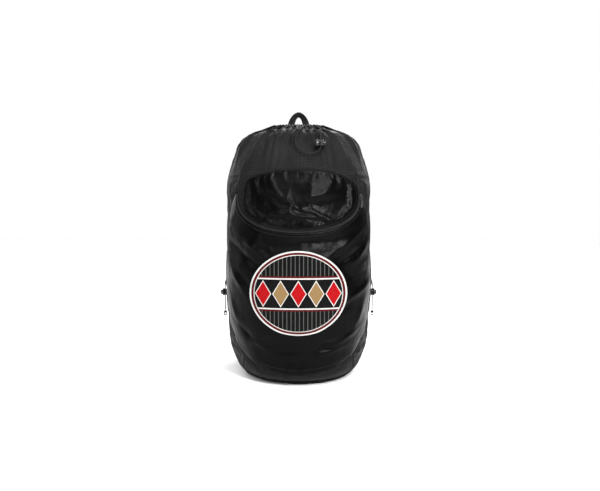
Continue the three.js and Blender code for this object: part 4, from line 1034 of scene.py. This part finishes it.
def pocket_place(a, t):
    """Place on the pocket: a runs along its sewn edge and t from there up to the zip."""
    low = read_line(EDGE_LINE, np.linspace(0, 1, len(EDGE_LINE)), np.abs(a))
    low_x, low_z = np.sign(a) * low[..., 0], low[..., 2]
    top_x, top_z = zip_place(a)
    return low_x + (top_x - low_x) * t, low_z + (top_z - low_z) * t


def pocket_front():
    """Pocket cloth from its sewn outline up to the zip, turned down to the body at its edges."""
    a_line = np.concatenate([[-1, -1], np.linspace(-1, 1, 131), [1, 1]])
    t_line = np.concatenate([[0, 0], np.linspace(0, 1, 96), [1]])
    a, t = np.meshgrid(a_line, t_line)
    x, z = pocket_place(a, t)
    pucker = 1.1 * np.sin(a * 75 + 2 * np.sin(a * 11)) * np.exp(-t * 18)
    crease = fold_height(POCKET_CREASES, x, z, 1.4) * smoothstep(np.minimum(t, 1 - t), 0.02, 0.14)
    off = np.maximum(pocket_lift(x, z) + pucker + crease, POCKET_STAND + CLOTH)
    down = np.ones(off.shape)
    down[0], down[1], down[-1] = EDGE_TUCK[0][1], EDGE_TUCK[1][1], ZIP_TUCK
    for column, share in EDGE_TUCK:
        down[:, column] = np.minimum(down[:, column], share)
    points = off_front(x, z, off * down)
    aside, upright = border(points)
    sim = {
        "pinned": pins_of(aside - 2, upright - 2), "growth": 0.07, "pressure": 0.1, "frames": 24,
        "cap": 11.0, "bending": 0.4, "gravity": 0.6,
    }
    cloth = np.stack([x, z], -1)
    cloth_piece("pocket_cloth", "pocket_panel", points, cloth, POCKET_SATIN, CLOTH, sim, flip=True)


def lid_place(turn, share):
    c, s = np.abs(np.cos(turn)), np.abs(np.sin(turn))
    reach = share * (c ** LID_POWER + s ** LID_POWER) ** (-1 / LID_POWER)
    rise = np.where(np.sin(turn) > 0, LID_UP, LID_DOWN)
    return LID_HALF * reach * np.cos(turn), LID_Z + rise * reach * np.sin(turn)


def pocket_lid():
    """Oval panel above the zip, with a skirt to the body and a piped edge."""
    s, t = np.meshgrid(np.linspace(-1, 1, 92), np.linspace(-1, 1, 66))
    u, v = s * np.sqrt(1 - t * t / 2), t * np.sqrt(1 - s * s / 2)
    x, z = lid_place(np.arctan2(v, u), np.hypot(u, v))
    points = off_front(x, z, pocket_lift(x, z))
    sim = {
        "pinned": pins_of((1 - np.hypot(u, v)) * 60), "growth": 0.026, "pressure": 0.5, "frames": 22,
        "cap": 8.0, "bending": 4.0, "gravity": 0.4,
    }
    cloth_piece("lid_cloth", "pocket_lid", points, np.stack([x, z], -1), SATIN, CLOTH, sim, flip=True)
    turn = np.linspace(0, 2 * math.pi, 241)
    x, z = lid_place(turn, 1.0)
    lift = pocket_lift(x, z)
    tube("lid_piping", None, off_front(x, z, lift - 0.2), 1.5, BINDING)
    skirt = np.array([off_front(x, z, lift * share + 0.2) for share in SKIRT_ROWS])
    cloth = np.stack([np.repeat(turn[None] * 80, len(SKIRT_ROWS), 0), skirt[..., 2]], -1)
    cloth_piece("lid_skirt", None, skirt, cloth, SATIN, 1.0, flip=True)


def zip_fastener():
    """Tape between the pocket and its lid, with the two rows of the coil."""
    a = np.linspace(-0.985, 0.985, 420)
    low = np.stack(zip_place(a), -1)
    turn = np.arctan2((low[:, 1] - LID_Z) / LID_DOWN, low[:, 0] / LID_HALF)
    turn = np.where(turn > 0, np.where(low[:, 0] < 0, math.pi, 0), turn)
    high = np.stack(lid_place(turn, 1.0), -1)
    strips = np.array([low + (high - low) * share for share in (-0.12, 0.2, 0.5, 0.8, 1.1)])
    x, z = strips[..., 0], strips[..., 1]
    points = off_front(x, z, pocket_lift(x, z) - 2.0)
    cloth_piece("zip_cloth", "zip_tape", points, np.stack([z, x], -1), BINDING, 1.0, flip=True)
    for name, share in (("lower", 0.38), ("upper", 0.62)):
        x, z = even(low + (high - low) * share, 900).T
        spine = off_front(x, z, pocket_lift(x, z) - 1.0)
        radius = 0.8 + 0.25 * np.cos(2 * math.pi * run_length(spine) / 1.7)
        across = turned_along(spine, UP) * radius[:, None]
        out = np.cross(tangents(spine), across)
        sweep(f"zip_coil_{name}", None, spine, across, out, ROUND[::2], COIL)


# Side pockets

def side_pocket_point(q, z, off):
    """Outside of a side pocket: sewn flat at its seams, and open at the mouth, more to the rear."""
    back, front = q_at(*POCKET_BACK, z), q_at(*POCKET_FRONT, z)
    across = np.clip((np.abs(q) - back) / (front - back), 0, 1)
    rise = np.clip((z - SIDE_POCKET["low"]) / (SIDE_POCKET["top"] - SIDE_POCKET["low"]), 0, 1)
    flare = SIDE_POCKET["flare"] * np.sin(math.pi * across ** SIDE_POCKET["peak"]) * rise ** 1.4
    out = shell_normal(q, z)
    wide = out * np.array([SIDE_POCKET["aside"], 1, 0]) * flare[..., None]
    return shell_point(q, z) + out * (SIDE_POCKET["stand"] + CLOTH + np.asarray(off))[..., None] + wide


def side_pocket(name, side):
    """Net wall of a side pocket, and the rucked hem that holds its cord."""
    low, hem, top = SIDE_POCKET["low"], SIDE_POCKET["hem"], SIDE_POCKET["top"]
    q, z = side_grid(side, POCKET_BACK, POCKET_FRONT, np.linspace(low, hem + 1, 62), 56)
    ease = 0.8 * np.sin(q * 160) * smoothstep(z, 120, 196)
    points = side_pocket_point(q, z, ease)
    sim = {"pinned": pins_of(*border(points)), "growth": 0.03, "pressure": 0.4, "cap": 4.0}
    cloth_piece(f"pocket_net_{name}", f"side_pocket_{name}", points, full_cloth(points), COARSE_NET, 0.5, sim)
    rows = [(hem - 1, 0.4), *((h, 0.9) for h in np.linspace(hem + 1, top - 1.5, 10))]
    rows += [(top, 0.0), (top - 0.6, -1.4), (top - 6, -2.2)]
    heights, stands = np.array(rows).T
    q, z = side_grid(side, POCKET_BACK, POCKET_FRONT, heights, 90)
    ruck = 1.0 * np.sin(q * 260) * np.sin(math.pi * np.clip((z - 196) / 20, 0, 1))
    points = side_pocket_point(q, z, stands[:, None] + ruck)
    cloth_piece(f"hem_cloth_{name}", f"pocket_hem_{name}", points, flat_cloth(q, points), SATIN, 0.9)


def hem_corner():
    """Outer corner of a hem on the +X side, where its cord comes out."""
    back, front = q_at(*POCKET_BACK, CORD_EXIT_Z), q_at(*POCKET_FRONT, CORD_EXIT_Z)
    points = side_pocket_point(back + (front - back) * np.linspace(0, 1, 51), CORD_EXIT_Z, 0.0)
    return points[np.argmax(points[:, 0] + 0.5 * points[:, 1])]


def flat_webbing(name, node, side, run, surface):
    """Webbing sewn flat on a surface."""
    q, z = side_grid(side, run["near"], run["far"], np.linspace(run["low"], run["high"], 9), run["columns"])
    cloth = np.stack([z - (run["low"] + run["high"]) / 2, q * LOOP_LENGTH], -1)
    cloth_piece(name, node, surface(q, z, WEB_STAND), cloth, WEBBING, WEB_THICK)


# Straps and their webbing

STRAP_SHARES = np.linspace(0, 1, 120)
STRAP_COLUMNS = 23
EDGE_HALF_THICK = 2.3
BINDING_FROM, BINDING_STAND, BINDING_THICK = 0.76, 0.8, 0.7
# Rows are share of the strap's length, its reach and depth
STRAP_PINCHES = ((0.58, 0.016, 0.4), (0.66, 0.012, 0.32))
EDGE_BEND = [(1.0, 0.75), (1.022, 0.3), (1.03, 0.0), (1.022, -0.3), (1.0, -0.75)]


def behind_back(side, rows):
    """Points from rows of distance behind the back plane, height and place across."""
    return [at(side * x, -behind, z) for behind, z, x in rows]


def strap_line(name, shares, off=0.0):
    """Middle, width direction and outward direction at shares of a strap's length."""
    dense = smooth_path(behind_back(SIDES[name], STRAPS[name]["path"]), 600)
    along = tangents(dense)
    across = unit(ACROSS - along * along[:, :1])
    out = unit(np.cross(across, along))
    spot = np.linspace(0, 1, 600)
    middle, across, out = (read_line(line, spot, shares) for line in (dense, across, out))
    return middle + out * off, unit(across), unit(out)


def strap_half(shares):
    return smooth(STRAP_HALF, "share", "half", shares)[:, None]


def pad_height(u):
    """Half thickness of a padded strap over its width, pressed down along its ribbon and its bound edges."""
    crown = np.clip(1 - np.abs(u) ** 2.4, 0, 1) ** 0.6
    return EDGE_HALF_THICK + (STRAP_THICK / 2 - EDGE_HALF_THICK) * crown - 0.7 * dip(u, 0.12)


def strap_pad(name):
    """Padded strap with a knitted face and a net underside."""
    stations, half = len(STRAP_SHARES), strap_half(STRAP_SHARES)
    middle, across, out = strap_line(name, STRAP_SHARES)
    u = np.linspace(-1, 1, STRAP_COLUMNS)
    loop = np.concatenate([u, u[::-1]])
    columns = len(loop)
    face = np.where(np.arange(columns) < STRAP_COLUMNS, 1.0, -1.0)
    fold = np.ones(stations)
    for share, reach, depth in STRAP_PINCHES:
        fold = fold - depth * dip(STRAP_SHARES - share, reach)
    high = pad_height(loop) * face * np.where(face > 0, fold[:, None], 1.0)
    points = middle[:, None] + across[:, None] * (half * loop)[..., None] + out[:, None] * high[..., None]
    lengthways = np.repeat(STRAP_SHARES[:, None] * STRAP_LENGTH, columns, 1)
    cloth = np.stack([SIDES[name] * half * loop, lengthways], -1)
    faces = [tuple(f) for f in grid_faces(stations, columns, True)]
    for start in (0, (stations - 1) * columns):
        for k in range(STRAP_COLUMNS - 1):
            faces.append([start + i for i in (k, k + 1, columns - 2 - k, columns - 1 - k)])
    made = mesh_object(f"strap_pad_{name}", points.reshape(-1, 3), faces, cloth.reshape(-1, 2))
    face_out(made)
    dress(made, HEATHER)
    made.data.materials.append(UNDER_NET.material)
    for polygon in made.data.polygons:
        polygon.material_index = int(all(v % columns >= STRAP_COLUMNS for v in polygon.vertices))
    sewn = (np.abs(loop) > BINDING_FROM) | ((np.abs(loop) < 0.13) & (face > 0))
    ends = (STRAP_SHARES < 0.02) | (STRAP_SHARES > TAB_FROM - 0.01)
    settle(made, (sewn | ends[:, None]).astype(float).ravel(), 0.03, 0.8, cap=3.0, bending=1.5)
    place(made, f"strap_{name}")


def strap_trim(name):
    """Bound edges and the ribbon down the middle."""
    middle, across, out = strap_line(name, STRAP_SHARES)
    top = np.linspace(BINDING_FROM, 0.985, 7)
    upper = [(u, pad_height(u) + BINDING_STAND) for u in top]
    lower = [(u, -v) for u, v in reversed(upper)]
    rim = np.array(upper + [(u, v * EDGE_HALF_THICK) for u, v in EDGE_BEND] + lower, float)
    run = np.concatenate([[0], np.cumsum(np.hypot(np.diff(rim[:, 0]) * 28, np.diff(rim[:, 1])))])
    lengthways = np.repeat(STRAP_SHARES[:, None] * STRAP_LENGTH, len(rim), 1)
    cloth = np.stack([np.repeat(run[None], len(STRAP_SHARES), 0), lengthways], -1)
    for edge, side in (("inner", -1), ("outer", 1)):
        points = middle[:, None] + across[:, None] * (side * strap_half(STRAP_SHARES) * rim[:, 0])[..., None]
        points = points + out[:, None] * rim[None, :, 1:]
        cloth_piece(f"strap_edge_{edge}_{name}", None, points, cloth, BINDING, BINDING_THICK, flip=side < 0)
    shares = np.linspace(0.012, TAB_FROM - 0.005, 140)
    middle, across, out = strap_line(name, shares, STRAP_THICK / 2 - 0.1)
    line = middle + out * 0.25 * np.sin(shares * 120)[:, None]
    band(f"strap_ribbon_{name}", f"strap_stripe_{name}", line, across, STRIPE_HALF, 0.9, RIBBON)


def buckle_frame(name):
    """Width, length and outward directions of a buckle, and its middle."""
    side, buckle = SIDES[name], STRAPS[name]["buckle"]
    lean, roll = math.radians(buckle["lean"]), side * math.radians(buckle["roll"])
    straight = np.array([0, -math.sin(lean), -math.cos(lean)])
    out = np.array([0, math.cos(lean), -math.sin(lean)])
    down = np.array([math.sin(roll), 0, 0]) + straight * math.cos(roll)
    across = np.array([math.cos(roll), 0, 0]) - straight * math.sin(roll)
    return across, down, out, at(side * buckle["x"], -buckle["behind"], buckle["z"])


def strap_band(name, node, points, count, first, last):
    """Webbing whose width turns from one direction to another along its line."""
    line = smooth_path(points, count)
    share = np.linspace(0, 1, count)[:, None]
    made = band(name, node, line, first * (1 - share) + last * share, WEB_HALF, WEB_THICK, WEBBING)
    return made, line


def strap_webbing(name):
    """Tab folded round the top bar, webbing through the slots, and its free end."""
    side, strap = SIDES[name], STRAPS[name]
    across, down, out, middle = buckle_frame(name)
    fold, thread, start = (
        [middle + down * v + out * n for v, n in rows] for rows in (TAB_FOLD, WEB_THREAD, TAIL_START)
    )
    sewn = strap_line(name, np.array([TAB_FROM, 0.95, 0.97, 0.99]), STRAP_FACE + WEB_THICK / 2)[0]
    strap_band(f"tab_band_{name}", f"strap_tab_{name}", [*sewn, *fold], 90, ACROSS, across)
    rise = behind_back(side, reversed(strap["web"]))
    strap_band(f"web_band_{name}", f"strap_web_{name}", rise + thread, 130, ACROSS, across)
    hang = behind_back(side, strap["tail"])
    tail, line = strap_band(f"tail_band_{name}", f"web_tail_{name}", start + hang, 130, across, ACROSS)


def haul_handle():
    """Carrying loop: flat legs that lean together, and a top that tips over backwards."""
    count = 150
    right = [at(*row) for row in HAUL_LEG]
    left = [point * (-1, 1, 1) for point in right]
    line = smooth_path(left + [at(*HAUL_TOP)] + right[::-1], count)
    along = tangents(line)
    twist = HAUL_TIP * smoothstep(1 - np.abs(np.linspace(-1, 1, count)), 0.5, 0.95)[:, None]
    flat = unit(np.stack([along[:, 2], np.zeros(count), -along[:, 0]], 1))
    across = flat * np.cos(twist) + np.array([0, 1, 0]) * np.sin(twist)
    band("haul_band", "haul_loop", line, across, HAUL_HALF, HAUL_THICK, WEBBING)


def chest_strap():
    """Webbing that hangs from the chest clip on the left strap."""
    line_at = strap_line("left", np.array([CHEST["share"]]), STRAP_FACE + 1.5)
    middle, across, out = (rows[0] for rows in line_at)
    middle = middle + across * SIDES["left"] * CHEST["aside"]
    down = np.cross(out, across)
    near = [middle + down * v + out * n for v, n in ((10.5, -0.2), (12, 2.2), (15.5, 3.4), (21, 3.2))]
    hang = [near[-1] + np.array([0, -back, -drop]) for drop, back in ((25, 1), (55, 3), (85, 7))]
    line = smooth_path(near + hang, 90)
    width = np.repeat(across[None], 90, 0)
    web = band("chest_band", "chest_web", line, width, CHEST["web_half"], WEB_THICK, WEBBING)


# Hard fittings

def round_edges(made, width, segments, angle):
    smooth_faces(made.data)
    edge = made.modifiers.new("rounding", "BEVEL")
    edge.width = width * MM
    edge.segments = segments
    edge.limit_method = "ANGLE"
    edge.angle_limit = math.radians(angle)
    edge.harden_normals = True


def softened(name, node, look, width, body="bag"):
    """A moulded fitting: the plain solid with its edges rounded."""
    made = new_object(name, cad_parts[node].data.copy())
    work = bmesh.new()
    work.from_mesh(made.data)
    bmesh.ops.remove_doubles(work, verts=work.verts, dist=1e-6)
    bmesh.ops.dissolve_limit(work, angle_limit=math.radians(2), verts=work.verts, edges=work.edges)
    work.to_mesh(made.data)
    work.free()
    dress(made, look)
    round_edges(made, width, 3, 35)
    place(made, node, body)


def lathe(name, profile, segments=40):
    """Turned solid about X from (radius, x) points that start and end on the axis."""
    turn = np.linspace(0, 2 * math.pi, segments, endpoint=False)
    rings = [(r, x) for r, x in profile if r > 0]
    points = [(x, r * math.cos(a), r * math.sin(a)) for r, x in rings for a in turn]
    faces = [*grid_faces(len(rings), segments, True)]
    points += [(profile[0][1], 0, 0), (profile[-1][1], 0, 0)]
    first, last = len(points) - 2, len(points) - 1
    end = (len(rings) - 1) * segments
    for k in range(segments):
        after = (k + 1) % segments
        faces += [(first, after, k), (last, end + k, end + after)]
    made = mesh_object(name, points, faces)
    face_out(made)
    return made


def carve(made, *cutters):
    """Cuts shapes out of a solid and deletes the cutters."""
    for cutter in cutters:
        cut = made.modifiers.new("cut", "BOOLEAN")
        cut.operation = "DIFFERENCE"
        cut.object = cutter
        cut.solver = "EXACT"
    bpy.context.view_layer.update()
    shaped = made.evaluated_get(bpy.context.evaluated_depsgraph_get())
    mesh = bpy.data.meshes.new_from_object(shaped)
    made.modifiers.clear()
    made.data = mesh
    for cutter in cutters:
        bpy.data.objects.remove(cutter)
    round_edges(made, 0.3, 2, 40)
    return made


def rounded(radius, x, corner, facing):
    """Quarter round from a flat end to a turned side."""
    turn = np.linspace(0, math.pi / 2, 5)
    return [(radius - corner + corner * math.sin(a), x + facing * corner * (1 - math.cos(a))) for a in turn]


def rod(name, radius, start, end, segments=40):
    return lathe(name, [(0, start), (radius, start), (radius, end), (0, end)], segments)


def lock_barrel(name):
    """Ribbed barrel of a cord lock, bored for its button and crossed by its cord."""
    back, front, radius, rim = LOCK["back"], LOCK["front"], LOCK["radius"], LOCK["rim"]
    profile = [(0, back)] + rounded(rim, back, 2.0, 1) + [(rim, back + 4), (radius, back + 6)]
    for k in range(3):
        start = back + 7 + k * 1.6
        profile += [(radius - sink, start + along) for sink, along in LOCK_GROOVE]
    profile += [(radius, front - 5), (rim, front - 3.4)] + rounded(rim, front, 0.8, -1)[::-1] + [(0, front)]
    body = lathe(name, profile)
    bore = rod("bore", LOCK["bore"], LOCK["bore_end"], 9)
    hole = rod("hole", LOCK["hole"], -20, 20, 24)
    hole.rotation_euler = (0, math.pi / 2, 0)
    return carve(body, bore, hole)


def lock_button(name):
    """Dished button of a cord lock, with the slot that its cord runs through."""
    back, front, radius = BUTTON["back"], BUTTON["front"], BUTTON["radius"]
    dish = [(4.2, front), (2.6, front - 0.5), (0, front - 0.7)]
    body = lathe(name, [(0, back), (radius, back)] + rounded(radius, front, 1.4, -1)[::-1] + dish)
    middle = (BUTTON["slot_back"] + BUTTON["slot_front"]) / 2
    long = BUTTON["slot_front"] - BUTTON["slot_back"]
    ends, half, high = (middle - long / 2, middle + long / 2), BUTTON["slot_half"], 12
    corners = [(x, y, z) for x in ends for y in (-half, half) for z in (-high, high)]
    faces = [(0, 1, 3, 2), (4, 6, 7, 5), (0, 4, 5, 1), (2, 3, 7, 6), (0, 2, 6, 4), (1, 5, 7, 3)]
    return carve(body, mesh_object("slot", corners, faces))


def cord_lock(barrel, button, axes, middle, node, button_node):
    """Barrel and sprung button of a cord lock, drawn at the origin and moved to its place."""
    matrix = np.eye(4)
    matrix[:3, :3] = np.array(axes).T
    matrix[:3, 3] = middle * MM
    pieces = []
    for make, name, body, stood_for in (
        (lock_barrel, barrel, "bag", node), (lock_button, button, button_node, button_node),
    ):
        made = make(name)
        made.data.transform(Matrix(matrix.tolist()))
        made.data.update()
        dress(made, PLASTIC)
        pieces.append(place(made, stood_for, body))
    return pieces


def knot(name, node, top):
    """Overhand knot with the small loop of cord under it."""
    turn = np.linspace(0, 2 * math.pi, 90)
    coil = np.stack([
        (np.sin(turn) + 2 * np.sin(2 * turn)) * 1.15,
        (np.cos(turn) - 2 * np.cos(2 * turn)) * 1.0,
        -np.sin(3 * turn) * 1.5 - 4.2,
    ], 1)
    made = tube(name, node, top + coil, 1.45, CORD)
    turn = np.linspace(0, 2 * math.pi, 60)
    loop = np.stack([2.8 * np.sin(turn), np.zeros(60), -10.0 + 4.2 * np.cos(turn)], 1)
    tube(f"{name}_loop", None, top + loop, 1.4, CORD)
    return made


# Cords and their locks

def on_slope(x, z, off):
    """Point off the plain slope under the mouth."""
    q = float(q_at("front_x", abs(x), z))
    return off_shell(2 - q if x < 0 else q, z, off, 0.0)


def draw_cord():
    """Drawcord: out of the casing, loose down the slope, up through its lock and back into the casing."""
    q = q_at("front_x", DRAW_LOCK["x"], DRAW_LOCK["z"])
    out = unit(shell_normal(q, DRAW_LOCK["z"], 0.0) * (0, 1, 1))
    middle = off_shell(q, DRAW_LOCK["z"], DRAW_LOCK["off"], 0.0)
    up = np.cross(out, ACROSS)
    loop, home = ([on_slope(*row) for row in rows] for rows in (DRAW_LOOP, DRAW_HOME))
    through = [middle + up * along for along in (-13, 0, 13)]
    line = smooth_path(loop + through + home, 220)
    made = tube("draw_line", "drawcord", line, CORD_RADIUS, CORD)
    axes = (ACROSS, -out, up)
    pieces = cord_lock("draw_barrel", "draw_press_button", axes, middle, "draw_lock", "draw_button")


def pocket_cord(name, side):
    """Cord of a side pocket: out of the hem at its outer corner, through the lock and down to the knot."""
    flip = np.array([side, 1, 1])
    leave = hem_corner()
    lock = np.array([POCKET_LOCK["x"], leave[1] + POCKET_LOCK["behind_hem"], POCKET_LOCK["z"]])
    points = []
    for share, aside, z in ((0, 2 * CORD_RADIUS, CORD_EXIT_Z), (0.55, 0, 208), (0.9, 0, 203)):
        spot = leave + (lock - leave) * share
        points.append([spot[0] + aside, spot[1], z])
    points += [[lock[0], lock[1], z] for z in (196, 186, 174, 162, 148, CORD_END_Z)]
    line = smooth_path(np.array(points) * flip, 120)
    made = tube(f"pocket_line_{name}", f"pocket_cord_{name}", line, CORD_RADIUS, CORD)
    axes = (ACROSS * side, np.array([0, side, 0.0]), UP)
    pieces = cord_lock(
        f"pocket_barrel_{name}", f"pocket_button_{name}", axes, lock * flip, f"cord_lock_{name}",
        f"lock_button_{name}",
    )
    pieces.append(knot(f"pocket_knot_{name}", f"cord_knot_{name}", line[-1]))


# Seam stitching

# Rows are seam, distance aside as a share of the loop, and height over the cloth
SHELL_ROWS = [
    (BACK_SEAM, -0.012, 0.3), (BACK_SEAM, 0.01, 0.3), (WING_SEAM, -0.01, 0.3), (WING_SEAM, 0.01, 0.3),
    (SIDE_SEAM, -0.012, 0.3), (SIDE_SEAM, 0.012, 0.6),
]
TAB_CROSS = [(-1, 0), (1, 0), (1, 1), (-1, 1), (-1, 0), (1, 1), (1, 0), (-1, 1)]


def front_row(x, z, off):
    return off_front(x, z, pocket_lift(x, z) + off), front_normal(x, z)


def seam_stitching():
    heights = np.linspace(14, 566, 200)
    lines = []
    for side in (-1, 1):
        for seam, shift, off in SHELL_ROWS:
            q = side * (q_at(*seam, heights) + shift)
            lines.append((off_shell(q, heights, off), shell_normal(q, heights)))
    stitches("shell_stitches", lines, THREAD)
    a, turn = np.linspace(-1, 1, 400), np.linspace(0, 2 * math.pi, 300)
    lines = [
        front_row(*pocket_place(a, 0.025), 0.5),
        front_row(*pocket_place(a[8:-8], 0.978), 0.4),
        front_row(*lid_place(turn, 0.955), 0.4),
    ]
    stitches("pocket_stitches", lines, THREAD)


def strap_stitching():
    edges, crosses = [], []
    shares = np.linspace(0.01, 0.99, 260)
    ribbon = shares < TAB_FROM - 0.01
    for name in STRAPS:
        middle, across, out = strap_line(name, shares)
        for u in (-0.8, 0.8):
            edges.append((middle + across * strap_half(shares) * u + out * (pad_height(u) + 1.2), out))
        for u in (-STRIPE_HALF + 0.8, STRIPE_HALF - 0.8):
            edges.append(((middle + across * u + out * (STRAP_THICK / 2 + 0.5))[ribbon], out[ribbon]))
        for start, end in zip(TAB_CROSS, TAB_CROSS[1:]):
            u, v = np.linspace(start, end, 12).T
            along = TAB_SEWN[0] + (TAB_SEWN[1] - TAB_SEWN[0]) * v
            spot, width, face = strap_line(name, along, STRAP_FACE + WEB_THICK + 0.2)
            crosses.append((spot + width * (TAB_SEWN_HALF * u)[:, None], face))
    stitches("strap_stitches", edges, PALE_THREAD)
    stitches("tab_stitches", crosses, THREAD)


# Floor, light and camera

LAMP_AIM = (0, 0, 0.3)
WORLD_LIGHT = 0.03
EVEN_LIGHT = {"power": 3.45, "spread": math.radians(80), "tip": math.radians(10)}
# Name, place, size and power of each soft lamp
LAMPS = [
    ("key", (0.9, -1.9, 1.35), 0.45, 74),
    ("fill", (-0.9, -2.0, 1.0), 0.45, 16),
    ("top", (0.5, -1.3, 2.0), 0.7, 36),
    ("side", (-2.3, 0.3, 1.0), 1.4, 12),
    ("rear", (1.1, 2.0, 1.5), 1.7, 34),
    ("rear_fill", (-1.2, 1.9, 1.2), 1.7, 24),
]
CAMERA = {"spot": (0.0035, -1.5, 0.4), "aim": (0.0035, 0, 0.306), "focal": 37.9, "sensor": 36}
FLOOR_SIZE, FLOOR_DARK, FLOOR_LIGHT, FLOOR_ROUGH = 12, (0.9, 0.9, 0.9), (0.93, 0.93, 0.93), 0.9


def floor():
    bpy.ops.mesh.primitive_plane_add(size=FLOOR_SIZE)
    made = bpy.context.object
    made.name = "floor"
    look = Look("floor_white", None)
    colour = look.mix(look.noise(3, 2), FLOOR_DARK, FLOOR_LIGHT)
    look.feed(look.shader, {"Base Color": colour, "Roughness": FLOOR_ROUGH})
    made.data.materials.append(look.material)


def backdrop():
    """White behind the bag, and a faint even light from all round."""
    world = bpy.data.worlds.new("studio")
    bpy.context.scene.world = world
    world.use_nodes = True
    sky = Nodes(world.node_tree)
    ray = sky.add("ShaderNodeLightPath", {})["Is Camera Ray"]
    strength = sky.spread(ray, 0, 1, WORLD_LIGHT, 1.0)
    sky.feed(world.node_tree.nodes["Background"], {"Color": (1, 1, 1, 1), "Strength": strength})
    bpy.context.scene.view_settings.view_transform = "Standard"


def aim_at(made, spot, aim):
    made.location = spot
    made.rotation_euler = (Vector(aim) - Vector(spot)).to_track_quat("-Z", "Y").to_euler()


def lamps():
    for name, spot, size, power in LAMPS:
        light = bpy.data.lights.new(name, "AREA")
        light.size = size
        light.energy = power
        aim_at(new_object(name, light), spot, LAMP_AIM)
    sun = bpy.data.lights.new("even", "SUN")
    sun.energy = EVEN_LIGHT["power"]
    sun.angle = EVEN_LIGHT["spread"]
    new_object("even", sun).rotation_euler = (EVEN_LIGHT["tip"], 0, 0)


def camera():
    lens = bpy.data.cameras.new("camera")
    lens.sensor_width = CAMERA["sensor"]
    lens.lens = CAMERA["focal"]
    made = new_object("camera", lens)
    aim_at(made, CAMERA["spot"], CAMERA["aim"])
    bpy.context.scene.camera = made


camera()
floor()
backdrop()
lamps()
draw_cord()
for side_name, side_sign in SIDES.items():
    pocket_cord(side_name, side_sign)
    side_pieces(side_name, side_sign)
    side_pocket(side_name, side_sign)
    flat_webbing(f"anchor_band_{side_name}", f"web_anchor_{side_name}", side_sign, ANCHOR, side_pocket_point)
    flat_webbing(f"side_band_{side_name}", f"side_web_{side_name}", side_sign, SIDE_WEB, off_shell)
    strap_pad(side_name)
    strap_trim(side_name)
    strap_webbing(side_name)
    softened(f"buckle_{side_name}", f"ladder_lock_{side_name}", PLASTIC, 0.9)
back_panel()
mesh_wall()
lower_band()
base()
mouth_casing()
pocket_front()
pocket_lid()
zip_fastener()
haul_handle()
chest_strap()
softened("chest_buckle", "chest_clip", PLASTIC, 0.7)
softened("slider_body", "zip_slider", ZIP_METAL, 0.4)
softened("slider_pull", "zip_pull", ZIP_METAL, 0.35, "zip_pull")
seam_stitching()
strap_stitching()
